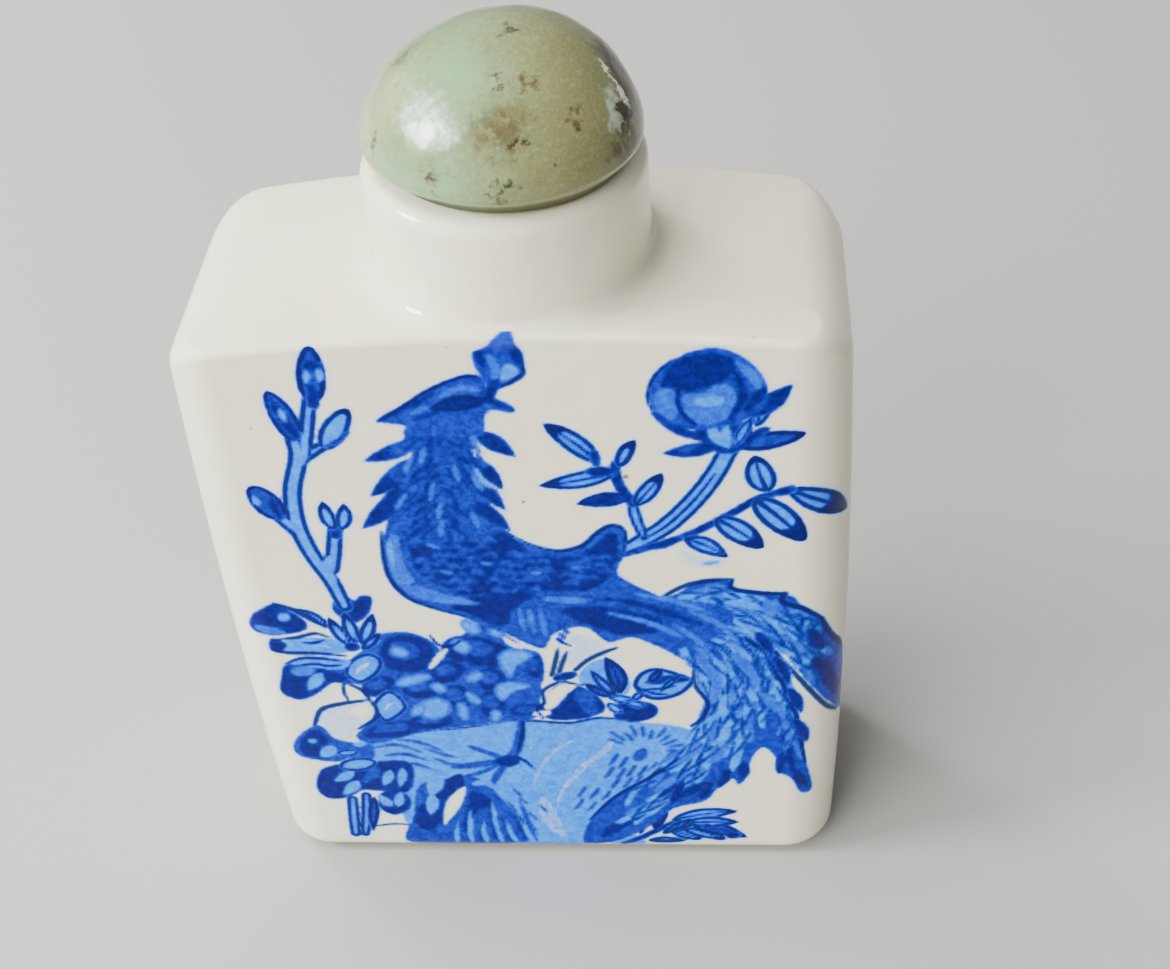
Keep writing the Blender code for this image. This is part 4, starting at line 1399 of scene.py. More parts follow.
@dataclass(frozen=True)
class PolishedJade:
    """Polished pale green stone, olive at the right, with brown patches, dark specks and pale clouds, and
    with painted highlights and partly painted shade on its facet.
    """

    sage: Colour = (0.150, 0.186, 0.083)
    mint: Colour = (0.170, 0.300, 0.145)
    olive: Colour = (0.150, 0.142, 0.050)
    cream: Colour = (0.290, 0.350, 0.185)
    brown: Colour = (0.060, 0.036, 0.011)
    dark: Colour = (0.014, 0.009, 0.003)
    # The pale cloudy colour, also used for a painted soft highlight on the stone's left.
    cloud: Colour = (0.560, 0.700, 0.600)
    moss: Colour = (0.034, 0.026, 0.006)
    # The pale colour of the painted highlight along the facet's ridge.
    ridge_highlight: Colour = (0.850, 0.820, 0.680)
    # The way and reach of the facet beyond the ridge, which is darkened partly as painted shade.
    skin_way: Place = (0.62, 1.0, 0.0)
    skin_reach: float = 2.2
    roughness: float = 0.24

    def build(self, effects: SharedEffects) -> bpy.types.Material:
        """Builds the material.

        Args:
            effects: The groups that it shares with the porcelain.

        Returns:
            The material.
        """
        material, graph, shader = new_material("mottled_jade")
        place = graph.place()
        mottle = effects.use(graph, effects.cloud, place, {"Scale": 0.28, "Contrast": 2.2})
        fine = graph.noise(place, 0.8, 5.0, 0.7, 1.0)
        colour = graph.mix(mottle, self.sage, self.mint)
        across = graph.add("SeparateXYZ", {0: place}).outputs[0]
        bent = graph.plus(across, graph.times(fine, 9.0))
        colour = graph.tint(colour, self.olive, graph.step(bent, 2.0, 9.5), 0.92)
        colour = graph.tint(colour, self.cream, graph.step(bent, 1.0, -4.0), 0.7)
        grain = graph.step(graph.noise(place, 4.2, 3.0, 0.7), 0.46, 0.64)
        colour = graph.tint(colour, self.cream, grain, 0.26)
        grain = graph.step(graph.noise(place, 2.0, 5.0, 0.75, 0.4), 0.46, 0.70)
        colour = graph.tint(colour, self.olive, grain, 0.50)
        worn = graph.noise(place, 1.4, 4.0, 0.7, 0.4)
        uneven = graph.uneven(place, 1.5, 1.7)
        for middle, inner, outer, shade, strength in self.patches():
            low, high = (0.16, 0.36) if outer < 1.3 else (0.28, 0.58)
            mask = graph.times(graph.within(uneven, middle, inner, outer), graph.step(worn, low, high))
            colour = graph.tint(colour, shade, mask, strength)
        pits = effects.use(graph, effects.pits, place, {"Scale": 0.9, "Radius": 0.16, "Share": 0.10})
        colour = graph.tint(colour, self.brown, pits, 0.55)
        along = graph.add("VectorMath", {0: place, 1: self.skin_way}, operation="DOT_PRODUCT")
        reach = graph.plus(along.outputs["Value"], graph.times(graph.minus(worn, 0.5), 2.2))
        off_ridge = graph.math("ABSOLUTE", graph.minus(reach, self.skin_reach))
        near_ridge = graph.within(place, (7.9, -2.6, 66.6), 1.2, 2.0)
        ridge = graph.times(graph.step(off_ridge, 0.26, 0.06), near_ridge)
        # Darkens the facet beyond the ridge: partly the stone's brown skin and partly painted shade.
        beyond = graph.step(reach, self.skin_reach - 0.1, self.skin_reach + 0.4)
        skin = graph.times(beyond, graph.within(uneven, (8.6, -0.7, 65.9), 1.6, 4.0))
        colour = graph.tint(colour, self.moss, skin, 0.94)
        # Paints a pale highlight along the facet's ridge.
        colour = graph.tint(colour, self.ridge_highlight, ridge, 0.85)
        height = graph.add("SeparateXYZ", {0: place}).outputs[2]
        # Darker towards the seat, below the girdle.
        colour = graph.tint(colour, self.moss, graph.step(height, 62.0, 61.2), 0.8)
        graph.tree.links.new(colour, shader.inputs["Base Color"])
        wavy = graph.noise(place, 0.5, 3.0)
        bump = graph.add("Bump", {"Strength": 0.10, "Distance": 0.001, "Height": wavy})
        graph.tree.links.new(bump.outputs[0], shader.inputs["Normal"])
        dull = graph.step(height, 62.7, 61.8)
        rough = graph.plus(graph.times(dull, 0.5), self.roughness)
        graph.tree.links.new(rough, shader.inputs["Roughness"])
        coat = graph.times(graph.minus(1.0, dull), 0.5)
        graph.tree.links.new(coat, shader.inputs["Coat Weight"])
        shader.inputs["Coat Roughness"].default_value = 0.16
        return material

    def patches(self) -> list[tuple[Place, float, float, Colour, float]]:
        """Returns the stone's patches: the middle, inner and outer reach, colour and strength of each."""
        return [
            ((-1.8, -4.3, 68.2), 0.6, 3.6, self.mint, 0.7),
            ((-5.1, -7.1, 63.0), 0.6, 3.0, self.mint, 0.8),
            ((-6.1, -3.0, 66.2), 0.6, 3.4, self.cream, 0.8),
            # These two pale clouds are partly the stone's own cloudy patches and partly a painted soft
            # highlight.
            ((-3.8, -5.5, 66.6), 0.2, 2.2, self.cloud, 0.8),
            ((-2.3, -7.0, 66.1), 0.2, 1.7, self.cloud, 0.7),
            ((1.4, -7.6, 66.4), 0.5, 2.6, self.brown, 0.8),
            ((2.4, -8.1, 65.9), 0.1, 0.7, self.dark, 0.9),
            ((1.4, -1.5, 69.7), 0.1, 0.8, self.dark, 0.8),
            ((0.9, -5.5, 68.3), 0.05, 0.6, self.dark, 0.8),
            ((1.6, -5.6, 68.2), 0.05, 0.5, self.dark, 0.8),
            ((3.0, -5.4, 68.2), 0.1, 0.8, self.brown, 0.9),
            ((5.8, -6.4, 66.3), 0.1, 0.8, self.brown, 1.0),
            ((-6.9, -4.5, 64.1), 0.1, 0.7, self.dark, 0.8),
            ((-5.4, -0.2, 67.3), 0.1, 1.2, self.brown, 0.7),
            ((-2.9, -8.3, 63.6), 0.1, 0.9, self.brown, 1.0),
            ((1.4, -9.3, 63.4), 0.1, 0.8, self.dark, 0.9),
            ((1.1, -9.4, 62.9), 0.1, 0.7, self.brown, 0.9),
            ((8.6, -4.9, 63.7), 0.6, 2.2, self.moss, 0.85),
            ((7.7, -4.2, 66.1), 0.2, 1.2, self.cloud, 0.5),
            ((7.8, -5.0, 65.3), 0.1, 1.1, self.cloud, 0.45),
            ((8.5, -3.6, 65.2), 0.3, 0.8, self.dark, 0.95),
            ((8.4, -4.5, 64.8), 0.2, 0.6, self.dark, 0.9),
        ]


@dataclass
class BottlePiece:
    """The porcelain bottle, hollow and open at the mouth, with its picture."""

    width: float = 45.0
    neck_margin: float = 0.5
    shoulder: float = 53.4
    shoulder_drop: float = 1.8
    corner: float = 4.0
    face_edge: float = 0.55
    side_edge: float = 3.0
    foot_edge: float = 1.75
    side_bulge: float = 0.5
    face_bow: float = 0.45
    wall: float = 2.4
    floor: float = 2.8
    inner_corner: float = 3.0
    inner_edge: float = 1.1
    foot_ring: float = 2.0
    recess: float = 0.7
    recess_slope: float = 0.4
    recess_corner: float = 1.4
    neck: float = 9.3
    neck_rise: float = 7.4
    neck_offset: float = 0.25
    neck_fillet: float = 1.3
    lip: float = 1.1
    bore: float = 5.5
    mouth_edge: float = 0.5
    fillet_share: float = 0.8
    flat_steps: int = 14
    side_steps: int = 6
    corner_steps: int = 6
    wall_steps: int = 16
    edge_steps: int = 5
    curve_steps: int = 8
    weave: float = 0.185
    back_weave: float = 0.30
    painted_turn: float = 75.0

    def __post_init__(self) -> None:
        """Works out the depth, the stations round the outline and the painted bounds."""
        self.depth = 2.0 * (self.neck + self.neck_margin)
        self.rim = self.shoulder + self.neck_rise
        self.floor_level = self.recess + self.floor
        self.limit = 1.0 + self.painted_turn / 90.0
        self.stations = self.make_stations()
        self.run = np.array([run.value for run, _ in self.stations], float)
        self.along = np.array([along for _, along in self.stations])

    def make_stations(self) -> list[tuple[Run, float]]:
        """Lists the stations anticlockwise: front with its corners, right side, back, left side.

        Returns:
            The run and the place on it of each station.
        """
        wide, deep = 0.5 * self.width - self.corner, 0.5 * self.depth - self.corner
        flat = self.fanned(math.atan(wide / (0.5 * self.depth)), self.flat_steps)
        corner = [1.0 + (i + 1) / self.corner_steps for i in range(self.corner_steps)]
        face = [-c for c in reversed(corner)] + flat + corner
        side = self.fanned(math.atan(deep / (0.5 * self.width)), self.side_steps)[1:-1]
        front = [(Run.FRONT, p) for p in face]
        back = [(Run.BACK, p) for p in reversed(face)]
        right = [(Run.SIDE, 3.0 + p) for p in side]
        left = [(Run.SIDE, -3.0 - p) for p in reversed(side)]
        return front + right + back + left

    @staticmethod
    def fanned(turn: float, steps: int) -> list[float]:
        """Returns places from -1 to 1 that lie at equal angles about the neck's axis.

        Args:
            turn: Half the angle that the places cover.
            steps: How many stretches lie between them.

        Returns:
            The places.
        """
        return [math.tan(turn * (2.0 * i / steps - 1.0)) / math.tan(turn) for i in range(steps + 1)]

    @staticmethod
    def frame_of(run: np.ndarray, along: np.ndarray) -> tuple[np.ndarray, np.ndarray]:
        """Turns stations into shares of the flat sides and outward normals.

        Args:
            run: The run of each station, as its number.
            along: Its place on that run.

        Returns:
            The shares across and deep, and the normals, two columns each.
        """
        face = run != 0
        size = np.abs(along)
        turn = QUARTER * np.clip(size - 1.0, 0.0, 1.0)
        hand = np.sign(along)
        share_x = np.where(face, np.clip(along, -1.0, 1.0), hand)
        share_y = np.where(face, -run, size - 3.0)
        normal_x = np.where(face, hand * np.sin(turn), hand)
        normal_y = np.where(face, -run * np.cos(turn), 0.0)
        return np.column_stack([share_x, share_y]), np.column_stack([normal_x, normal_y])

    def outline(
        self,
        shares: np.ndarray,
        normals: np.ndarray,
        height: float | np.ndarray,
        thickness: float = 0.0,
        radius: float | None = None,
    ) -> np.ndarray:
        """Returns points of the body's outline.

        Args:
            shares: The stations' shares across and deep.
            normals: Their outward normals.
            height: The height, one for all or one for each.
            thickness: How far inside the outer face the outline runs.
            radius: The radius of its corners, if not the body's own.

        Returns:
            The points, two columns.
        """
        radius = self.corner if radius is None else radius
        share = np.broadcast_to(np.asarray(height, float) / self.shoulder, len(shares))
        half_width = 0.5 * self.width + 4.0 * self.side_bulge * share * (1.0 - share) - thickness
        x = shares[:, 0] * (half_width - radius) + normals[:, 0] * radius
        y = shares[:, 1] * (0.5 * self.depth - thickness - radius) + normals[:, 1] * radius
        bow = self.face_bow * share * (1.0 - (x / half_width) ** 2)
        return np.column_stack([x, y + bow * normals[:, 1]])

    def crown(self, x: np.ndarray) -> np.ndarray:
        """Returns the height of the crowned shoulder this far along the body."""
        return self.shoulder - self.shoulder_drop * (2.0 * x / self.width) ** 2

    def edge_radius(self, normals: np.ndarray) -> np.ndarray:
        """Returns the radius of the shoulder's edge, crisp on the wide faces and soft at the sides."""
        radius = self.face_edge + (self.side_edge - self.face_edge) * normals[:, 0] ** 2
        return np.minimum(radius, self.fillet_share * self.corner)

    def outside(self, run: np.ndarray, along: np.ndarray, level: np.ndarray) -> np.ndarray:
        """Returns points of the outer skin.

        Args:
            run: The run of each point's station.
            along: Its place on that run.
            level: Its level: 0 to 1 round the foot, 1 to 2 up the wall, 2 to 3 over the shoulder's edge.

        Returns:
            The points, three columns.
        """
        shares, normals = self.frame_of(run, along)
        foot, wall, edge = (QUARTER * np.clip(level - k, 0.0, 1.0) for k in range(3))
        low, high = self.foot_edge, self.shoulder - self.shoulder_drop
        base = low * (1.0 - np.cos(foot))
        rise = wall / QUARTER
        rounded = self.edge_radius(normals)
        inset = low * (1.0 - np.sin(foot)) + rounded * (1.0 - np.cos(edge))
        plan = self.outline(shares, normals, base + rise * (high - low)) - normals * inset[:, None]
        top = self.crown(plan[:, 0]) - rounded
        height = np.where(level <= 1.0, base, low + rise * (top - low)) + rounded * np.sin(edge)
        return np.column_stack([plan, height])

    def level_ring(self, level: float) -> np.ndarray:
        """Returns a whole ring of the outer skin at one level."""
        return self.outside(self.run, self.along, np.full(len(self.run), level))

    def ring(
        self,
        height: float | np.ndarray,
        thickness: float = 0.0,
        radius: float | None = None,
        inset: float = 0.0,
    ) -> np.ndarray:
        """Returns a whole ring of the body's outline.

        Args:
            height: The height, one for all or one for each point.
            thickness: How far inside the outer face it runs.
            radius: The radius of its corners, if not the body's own.
            inset: How far it moves in along its normals besides.

        Returns:
            The points, three columns.
        """
        shares, normals = self.frame_of(self.run, self.along)
        plan = self.outline(shares, normals, height, thickness, radius) - normals * inset
        return np.column_stack([plan, np.full(len(plan), float(np.max(height)))])

    def neck_ring(self, edge: np.ndarray, radius: float | np.ndarray, height: float) -> np.ndarray:
        """Returns a ring about the neck's axis with a point in the direction of each of an outline's.

        Args:
            edge: The points of the outline.
            radius: The radius, one for all or one for each point.
            height: The ring's height.

        Returns:
            The points, three columns.
        """
        way = edge[:, :2] / np.hypot(edge[:, 0], edge[:, 1])[:, None]
        plan = way * np.broadcast_to(radius, len(way))[:, None] + (self.neck_offset, 0.0)
        return np.column_stack([plan, np.broadcast_to(height, len(way))])

    def outer_rings(self) -> tuple[list[np.ndarray], list[float]]:
        """Works out the rings up the outside and over the lip.

        Returns:
            The rings, and the level of each or -1.
        """
        ring = self.foot_edge + self.foot_ring
        rings = [
            self.ring(0.0, ring + self.recess_slope, self.recess_corner) + (0.0, 0.0, self.recess),
            self.ring(0.0, ring, self.recess_corner),
        ]
        levels = [i / self.edge_steps for i in range(self.edge_steps + 1)]
        levels += [1.0 + (i + 1) / self.wall_steps for i in range(self.wall_steps)]
        levels += [2.0 + (i + 1) / self.edge_steps for i in range(self.edge_steps)]
        rings += [self.level_ring(level) for level in levels]
        edge = rings[-1]
        marks = [-1.0, -1.0, *levels]
        room = np.hypot(*(edge - self.neck_ring(edge, self.neck, 0.0))[:, :2].T)
        fillet = np.minimum(self.neck_fillet, self.fillet_share * room)
        foot = self.neck_ring(edge, self.neck + fillet, 0.0)
        for i in range(1, self.edge_steps + 1):
            plan = edge[:, :2] + (foot - edge)[:, :2] * i / self.edge_steps
            rings.append(np.column_stack([plan, self.crown(plan[:, 0])]))
        for i in range(1, self.curve_steps + 1):
            turn = QUARTER * i / self.curve_steps
            loop = self.neck_ring(edge, self.neck + fillet * (1.0 - math.sin(turn)), 0.0)
            loop[:, 2] = self.crown(loop[:, 0]) + fillet * (1.0 - math.cos(turn))
            rings.append(loop)
        for i in range(self.curve_steps + 1):
            turn = QUARTER * i / self.curve_steps
            radius = self.neck - self.lip * (1.0 - math.cos(turn))
            rings.append(self.neck_ring(edge, radius, self.rim - self.lip * (1.0 - math.sin(turn))))
        for i in range(self.edge_steps + 1):
            turn = QUARTER * i / self.edge_steps
            radius = self.bore + self.mouth_edge * (1.0 - math.sin(turn))
            rings.append(self.neck_ring(edge, radius, self.rim - self.mouth_edge * (1.0 - math.cos(turn))))
        return rings, marks + [-1.0] * (len(rings) - len(marks))

    def inner_rings(self) -> list[np.ndarray]:
        """Works out the rings across the ceiling, down the inner walls and to the floor.

        Returns:
            The rings.
        """
        room = 0.5 * self.depth - self.wall - self.bore
        radius = min(self.inner_edge, self.fillet_share * room, self.fillet_share * self.inner_corner)
        high = self.shoulder - self.shoulder_drop
        edges = []
        for i in range(1, self.edge_steps + 1):
            turn = QUARTER * i / self.edge_steps
            loop = self.ring(high, self.wall, self.inner_corner, radius * (1.0 - math.cos(turn)))
            loop[:, 2] = self.crown(loop[:, 0]) - self.wall - radius * (1.0 - math.sin(turn))
            edges.append(loop)
        inner = edges[-1]
        bore = self.neck_ring(inner, self.bore, 0.0)
        rings = []
        for i in range(4, 0, -1):
            plan = inner[:, :2] + (bore - inner)[:, :2] * i / 4
            rings.append(np.column_stack([plan, self.crown(plan[:, 0]) - self.wall]))
        rings += edges[::-1]
        low = self.floor_level + radius
        for i in range(6, -1, -1):
            share = i / 6
            loop = self.ring(low + share * (high - low), self.wall, self.inner_corner)
            top = self.crown(loop[:, 0]) - self.wall - radius
            loop[:, 2] = low + share * (top - low)
            rings.append(loop)
        for i in range(self.edge_steps - 1, -1, -1):
            turn = QUARTER * i / self.edge_steps
            height = self.floor_level + radius * (1.0 - math.cos(turn))
            rings.append(self.ring(height, self.wall, self.inner_corner, radius * (1.0 - math.sin(turn))))
        return rings

    def build(self, finish: bpy.types.Material) -> bpy.types.Object:
        """Builds the bottle and paints it.

        Args:
            finish: The porcelain.

        Returns:
            The bottle's object.
        """
        outer, marks = self.outer_rings()
        inner = self.inner_rings()
        bm = bmesh.new()
        layers = {name: bm.verts.layers.float.new(name) for name in ("run", "along", "level")}
        rings = skin(bm, outer + inner)
        marks += [-1.0] * len(inner)
        for ring, level in zip(rings, marks):
            for vert, (run, along) in zip(ring, self.stations):
                vert[layers["run"]] = run.value if level >= 0.0 else ELSEWHERE
                vert[layers["along"]] = along
                vert[layers["level"]] = level
        self.refine(bm, layers, Run.FRONT, (-self.limit, self.limit), (0.6, 3.0), self.weave)
        self.refine(bm, layers, Run.BACK, (-0.56, 0.56), (1.1875, 1.875), self.back_weave)
        bmesh.ops.recalc_face_normals(bm, faces=bm.faces)
        mesh = bpy.data.meshes.new("painted_bottle")
        bm.to_mesh(mesh)
        bm.free()
        self.settle(mesh)
        return finished("painted_bottle", mesh, finish, "bottle")

    @staticmethod
    def refine(
        bm: bmesh.types.BMesh, layers: dict, run: Run, across: Point, levels: Point, weave: float
    ) -> None:
        """Cuts one area of the outer skin finely enough to paint on.

        Args:
            bm: The mesh being built.
            layers: Its layers with the run, place and level of each vertex.
            run: The run that the area lies on.
            across: The area's lowest and highest place along the run.
            levels: Its lowest and highest level.
            weave: The length that its edges come out at.
        """
        tiny = 1e-4

        def stands(vert: bmesh.types.BMVert) -> bool:
            """Tells whether a vertex stands in the area."""
            return (
                abs(vert[layers["run"]] - run.value) < tiny
                and across[0] - tiny < vert[layers["along"]] < across[1] + tiny
                and levels[0] - tiny < vert[layers["level"]] < levels[1] + tiny
            )

        for name, other in (("along", "level"), ("level", "along")):
            strips: dict[tuple[float, ...], list[bmesh.types.BMEdge]] = {}
            for edge in bm.edges:
                a, b = edge.verts
                if stands(a) and stands(b) and abs(a[layers[other]] - b[layers[other]]) < tiny:
                    ends = sorted((round(a[layers[name]], 4), round(b[layers[name]], 4)))
                    strips.setdefault(tuple(ends), []).append(edge)
            for edges in strips.values():
                length = max(edge.calc_length() for edge in edges)
                cuts = max(0, round(length / weave) - 1)
                if cuts:
                    bmesh.ops.subdivide_edges(bm, edges=edges, cuts=cuts)

    def settle(self, mesh: bpy.types.Mesh) -> None:
        """Puts every vertex of the outer skin on its true place, turns the mesh to metres and paints it.

        Args:
            mesh: The bottle's mesh, with the run, place and level of its vertices.
        """
        count = len(mesh.vertices)
        values = {}
        for name in ("run", "along", "level"):
            values[name] = np.zeros(count, np.float32)
            mesh.attributes[name].data.foreach_get("value", values[name])
        places = np.zeros(3 * count, np.float32)
        mesh.vertices.foreach_get("co", places)
        places = places.reshape(-1, 3).astype(float)
        skin_of = np.flatnonzero((values["level"] >= 0.0) & (np.abs(values["run"]) < 1.5))
        run, along, level = (values[k][skin_of].astype(float) for k in ("run", "along", "level"))
        places[skin_of] = self.outside(np.round(run), along, level)
        layers = {}
        front = skin_of[np.round(run) == Run.FRONT.value]
        back = skin_of[np.round(run) == Run.BACK.value]
        for chosen, painter in ((front, self.paint_front), (back, self.paint_back)):
            flat = self.unrolled(places[chosen], values["along"][chosen], values["level"][chosen])
            canvas = Canvas(flat / TENTH)
            painter(canvas)
            border = (values["level"][chosen] > 2.99) | (np.abs(values["along"][chosen]) > self.limit - 0.01)
            for name, layer in canvas.layers.items():
                layer[border] = FAR
                layers.setdefault(name, np.full(count, FAR))[chosen] = layer
        for name in ("run", "along", "level"):
            mesh.attributes.remove(mesh.attributes[name])
        for name, layer in layers.items():
            attribute = mesh.attributes.new(name, "FLOAT", "POINT")
            attribute.data.foreach_set("value", (layer * TENTH).astype(np.float32))
        low, high = (np.array(corner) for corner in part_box("bottle"))
        mesh.vertices.foreach_set("co", np.clip(places * MM, low, high).astype(np.float32).ravel())

    def unrolled(self, places: np.ndarray, along: np.ndarray, level: np.ndarray) -> np.ndarray:
        """Lays the places of a face out flat, across and up.

        Args:
            places: The places on the piece.
            along: How far along its run each lies.
            level: The level of each.

        Returns:
            The flat places, two columns.
        """
        turn = QUARTER * np.clip(np.abs(along) - 1.0, 0.0, 1.0)
        share = np.clip(places[:, 2] / self.shoulder, 0.0, 1.0)
        start = 0.5 * self.width + 4.0 * self.side_bulge * share * (1.0 - share) - self.corner
        start -= self.foot_edge * (1.0 - np.sin(QUARTER * np.clip(level, 0.0, 1.0))) * np.sin(turn)
        size = np.where(turn > 0.0, start + self.corner * turn, np.abs(places[:, 0]))
        across = np.sign(places[:, 0]) * size
        up = places[:, 2].copy()
        under = level < 1.0
        up[under] = self.foot_edge - self.foot_edge * QUARTER * (1.0 - level[under])
        over = level > 2.0
        up[over] += self.face_edge * (QUARTER * (level[over] - 2.0) - np.sin(QUARTER * (level[over] - 2.0)))
        return np.column_stack([across, up])

    @staticmethod
    def paint_front(canvas: Canvas) -> None:
        """Paints the picture, from what lies behind to what lies in front."""
        for part in (RockGarden, BuddingBranch, PeonySprays, Phoenix):
            part(canvas).paint()
        Brush(canvas).specks([(76, 415, 4.2), (6, 393.5, 3), (-169, 459, 2.2), (161, 528, 3), (-32, 526, 2)])

    @staticmethod
    def paint_back(canvas: Canvas) -> None:
        """Paints the plainer sprig, the same way up."""
        BackSprig(canvas).paint()


def skin(bm: bmesh.types.BMesh, rings: list[np.ndarray]) -> list[list[bmesh.types.BMVert]]:
    """Extrudes a ring of edges through all the rings in turn and caps both ends.

    Args:
        bm: The mesh that takes the skin.
        rings: The places of each ring's vertices.

    Returns:
        The vertices of each ring in order.
    """
    made = [bmesh.ops.create_circle(bm, cap_ends=False, segments=len(rings[0]), radius=1.0)["verts"]]
    edges = place_ring(bm, made[0], rings[0])
    bmesh.ops.contextual_create(bm, geom=edges)
    for places in rings[1:]:
        fresh = bmesh.ops.extrude_edge_only(bm, edges=edges)["geom"]
        new = {item for item in fresh if isinstance(item, bmesh.types.BMVert)}
        ring = [next(e.other_vert(v) for e in v.link_edges if e.other_vert(v) in new) for v in made[-1]]
        edges = place_ring(bm, ring, places)
        made.append(ring)
    bmesh.ops.contextual_create(bm, geom=edges)
    return made


def place_ring(bm: bmesh.types.BMesh, ring: list, places: np.ndarray) -> list:
    """Puts a ring of vertices in place.

    Args:
        bm: The mesh that they belong to.
        ring: The vertices in order.
        places: Where each goes.

    Returns:
        The ring's edges in order.
    """
    for vert, place in zip(ring, places):
        vert.co = place
    return [bm.edges.get(pair) for pair in zip(ring, ring[1:] + ring[:1])]


def level_circle(radius: float, angles: np.ndarray, height: float) -> np.ndarray:
    """Returns a level circle about the origin, with a point at each of some angles."""
    return np.column_stack([radius * np.cos(angles), radius * np.sin(angles), np.full(len(angles), height)])


def finished(
    name: str, mesh: bpy.types.Mesh, finish: bpy.types.Material, node: str
) -> bpy.types.Object:
    """Makes the object for a finished mesh and lets it stand for its solid.

    Args:
        name: The object's name.
        mesh: Its mesh, in place and in metres.
        finish: Its material.
        node: The solid that it stands for.

    Returns:
        The object.
    """
    mesh.shade_smooth()
    mesh.set_sharp_from_angle(angle=math.radians(50.0))
    mesh.materials.append(finish)
    piece = bpy.data.objects.new(name, mesh)
    bpy.context.scene.collection.objects.link(piece)
    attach(piece, "root")
    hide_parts(node)
    return piece


@dataclass
class StonePiece:
    """The stopper's polished stone, a worn oval pebble cut flat below, with its short plug."""

    seat: float = 61.1
    length: float = 18.8
    breadth: float = 17.0
    turn: float = -34.0
    girdle_rise: float = 1.55
    crown_height: float = 7.1
    offset: Point = (0.1, -0.65)
    lean: Point = (1.1, 0.2)
    power: float = 1.67
    tilt: float = 0.03
    undercut: float = 0.10
    seat_edge: float = 0.04
    facet_way: Place = (0.83, 0.05, 0.55)
    facet_depth: float = 0.45
    facet_wear: float = 0.8
    plug: float = 5.15
    plug_length: float = 2.5
    plug_chamfer: float = 0.4
    neck_offset: float = 0.25
    segments: int = 120
    crown_rings: int = 34
    dent: float = 0.10

    def profile(self) -> list[Point]:
        """Works out the stone's profile as shares of the girdle's radius and heights, from the tip down.

        Returns:
            The share and the height of each ring.
        """
        girdle = self.seat + self.girdle_rise
        points = []
        for i in range(self.crown_rings):
            rise = math.cos(QUARTER * i / self.crown_rings)
            points.append((max(0.012, math.sqrt(1.0 - rise**self.power)), girdle + self.crown_height * rise))
        edge = self.girdle_rise * self.seat_edge / self.undercut
        for i in range(9):
            points.append((1.0 - self.undercut * (i / 8) ** 2, girdle - i / 8 * (self.girdle_rise - edge)))
        points.append((1.0 - self.undercut - self.seat_edge, self.seat))
        return points

    def shaped(self, places: np.ndarray) -> np.ndarray:
        """Moves points of a round dome to where the worn oval pebble has them.

        Args:
            places: The points of the round dome.

        Returns:
            The points of the pebble.
        """
        girdle = self.seat + self.girdle_rise
        rise = np.clip((places[:, 2] - girdle) / self.crown_height, 0.0, 1.0)
        above = np.clip((places[:, 2] - self.seat) / self.girdle_rise, 0.0, 1.0)
        x, y = 0.5 * self.length * places[:, 0], 0.5 * self.breadth * places[:, 1]
        c, s = math.cos(math.radians(self.turn)), math.sin(math.radians(self.turn))
        plan = np.column_stack([c * x - s * y, s * x + c * y])
        height = places[:, 2] + self.tilt * plan[:, 0] * above
        middle = np.array((self.offset[0] + self.neck_offset, self.offset[1]))
        plan = plan + middle + np.array(self.lean) * (rise**2)[:, None]
        out = np.column_stack([plan, height])
        way = np.array(self.facet_way) / np.linalg.norm(self.facet_way)
        reach = 0.25 * (self.length + self.breadth) - self.facet_depth
        proud = (out - (*middle, girdle)) @ way - reach
        out -= self.facet_wear * np.maximum(proud, 0.0)[:, None] * way
        return out - self.dents(out, above)

    def dents(self, places: np.ndarray, above: np.ndarray) -> np.ndarray:
        """Works out how far the wear of handling has taken each point in towards the stone's middle.

        Args:
            places: The points of the pebble.
            above: How far above the seat each lies, as a share of the girdle's rise.

        Returns:
            The way from each worn point to its old place.
        """
        middle = np.array((0.4, -0.6, self.seat))
        way = places - middle
        way /= np.linalg.norm(way, axis=1)[:, None]
        wave = np.sin(0.9 * places[:, 0] + 1.0) * np.sin(0.8 * places[:, 1] + 0.7 * places[:, 2])
        wave = 0.5 + 0.35 * wave + 0.15 * np.sin(1.9 * places[:, 0] - 1.6 * places[:, 1])
        return way * (self.dent * wave * above)[:, None]

    def build(self, finish: bpy.types.Material) -> bpy.types.Object:
        """Builds the stone with its plug.

        Args:
            finish: The stone's material.

        Returns:
            The stone's object.
        """
        turns = np.arange(self.segments) * math.tau / self.segments
        rings = []
        for share, height in self.profile():
            rings.append(self.shaped(level_circle(share, turns, height)))
        low = self.seat - self.plug_length
        for radius, height in (
            (self.plug, self.seat),
            (self.plug, low + self.plug_chamfer),
            (self.plug - self.plug_chamfer, low),
        ):
            ring = level_circle(radius, turns + math.radians(self.turn), height)
            rings.append(ring + (self.neck_offset, 0.0, 0.0))
        bm = bmesh.new()
        skin(bm, rings)
        bmesh.ops.recalc_face_normals(bm, faces=bm.faces)
        bmesh.ops.scale(bm, verts=bm.verts, vec=(MM, MM, MM))
        mesh = bpy.data.meshes.new("jade_stopper")
        bm.to_mesh(mesh)
        bm.free()
        return finished("jade_stopper", mesh, finish, "stopper")


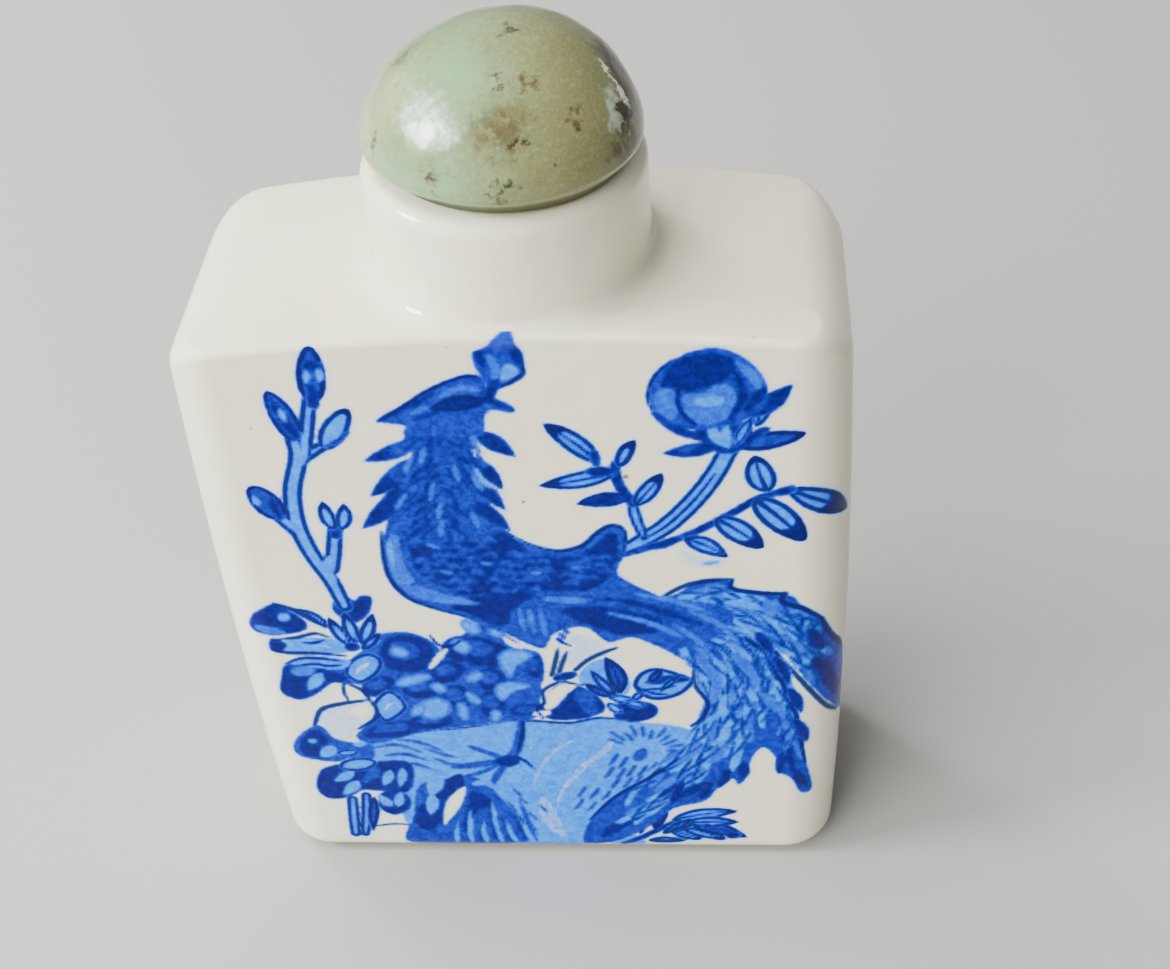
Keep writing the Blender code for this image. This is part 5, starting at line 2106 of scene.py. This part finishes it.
@dataclass
class Studio:
    """The pale floor, the soft lights and the camera at the photograph's viewing angle."""

    azimuth: float = 6.21
    elevation: float = 41.64
    roll: float = -4.68
    distance: float = 132.4
    target: Place = (3.75, 0.0, 31.81)
    lens: float = 54.8
    floor_size: float = 3.0
    floor_colour: Colour = (0.36, 0.355, 0.34)
    world_light: float = 0.4

    def build(self) -> None:
        """Builds all of them."""
        self.floor()
        self.light("front", (-0.35, -0.46, 0.34), (0.0, 0.0, 0.03), 0.50, 8.8, (1.0, 0.985, 0.96), False)
        self.light("top", (-0.14, 0.02, 0.60), (0.0, 0.0, 0.05), 0.30, 3.6, (1.0, 0.99, 0.97), False)
        self.light("window", (-0.36, -0.07, 0.27), (0.0, 0.0, 0.05), 0.12, 2.6, (0.97, 0.99, 1.0))
        self.light("rear", (-0.34, 0.30, 0.20), (0.0, 0.0, 0.04), 0.10, 2.0, (1.0, 1.0, 1.0), False)
        self.world()
        self.camera()

    def floor(self) -> None:
        """Lays a plain pale floor under the bottle."""
        bm = bmesh.new()
        bmesh.ops.create_grid(bm, x_segments=1, y_segments=1, size=0.5 * self.floor_size)
        bmesh.ops.translate(bm, verts=bm.verts, vec=(0.0, 0.0, -0.00005))
        mesh = bpy.data.meshes.new("floor")
        bm.to_mesh(mesh)
        bm.free()
        material, _, shader = new_material("pale_floor")
        shader.inputs["Base Color"].default_value = (*self.floor_colour, 1.0)
        shader.inputs["Roughness"].default_value = 0.8
        mesh.materials.append(material)
        floor = bpy.data.objects.new("floor", mesh)
        bpy.context.scene.collection.objects.link(floor)

    @staticmethod
    def light(
        name: str, place: Place, aim: Place, size: float, power: float, colour: Colour, mirrored: bool = True
    ) -> None:
        """Hangs a square soft light.

        Args:
            name: Its name.
            place: Where it hangs.
            aim: The point that it faces.
            size: The length of its side.
            power: Its strength in watts.
            colour: Its colour.
            mirrored: Whether the gloss of the glaze and the stone shows it.
        """
        lamp = bpy.data.lights.new(name, "AREA")
        lamp.size, lamp.energy, lamp.color = size, power, colour
        holder = bpy.data.objects.new(name, lamp)
        holder.location = place
        holder.visible_glossy = mirrored
        holder.rotation_euler = (Vector(aim) - Vector(place)).to_track_quat("-Z", "Y").to_euler()
        bpy.context.scene.collection.objects.link(holder)

    def world(self) -> None:
        """Fills the room with an even soft light."""
        world = bpy.data.worlds.new("room")
        world.use_nodes = True
        background = world.node_tree.nodes["Background"]
        background.inputs["Color"].default_value = (0.93, 0.95, 1.0, 1.0)
        background.inputs["Strength"].default_value = self.world_light
        bpy.context.scene.world = world

    def camera(self) -> None:
        """Sets the camera where the photograph was taken from."""
        az, el, roll = (math.radians(a) for a in (self.azimuth, self.elevation, self.roll))
        back = Vector((math.sin(az) * math.cos(el), -math.cos(az) * math.cos(el), math.sin(el)))
        right = Vector((math.cos(az), math.sin(az), 0.0))
        up = back.cross(right)
        turned = right * math.cos(roll) + up * math.sin(roll)
        upright = up * math.cos(roll) - right * math.sin(roll)
        place = (Vector(self.target) + back * self.distance) * MM
        data = bpy.data.cameras.new("camera")
        data.lens, data.sensor_width = self.lens, 36.0
        data.clip_start, data.clip_end = 0.01, 10.0
        camera = bpy.data.objects.new("camera", data)
        matrix = Matrix((turned, upright, back)).transposed().to_4x4()
        matrix.translation = place
        camera.matrix_world = matrix
        bpy.context.scene.collection.objects.link(camera)
        bpy.context.scene.camera = camera


def main() -> None:
    """Builds the finishes, the pieces and the studio."""
    logging.basicConfig(level=logging.INFO, format="%(name)s: %(message)s")
    effects = SharedEffects()
    bottle = BottlePiece().build(GlazedPorcelain().build(effects))
    LOG.info("%s has %d faces", bottle.name, len(bottle.data.polygons))
    stone = StonePiece().build(PolishedJade().build(effects))
    LOG.info("%s has %d faces", stone.name, len(stone.data.polygons))
    Studio().build()
    LOG.info("the studio is set")


if __name__ == "__main__":
    main()
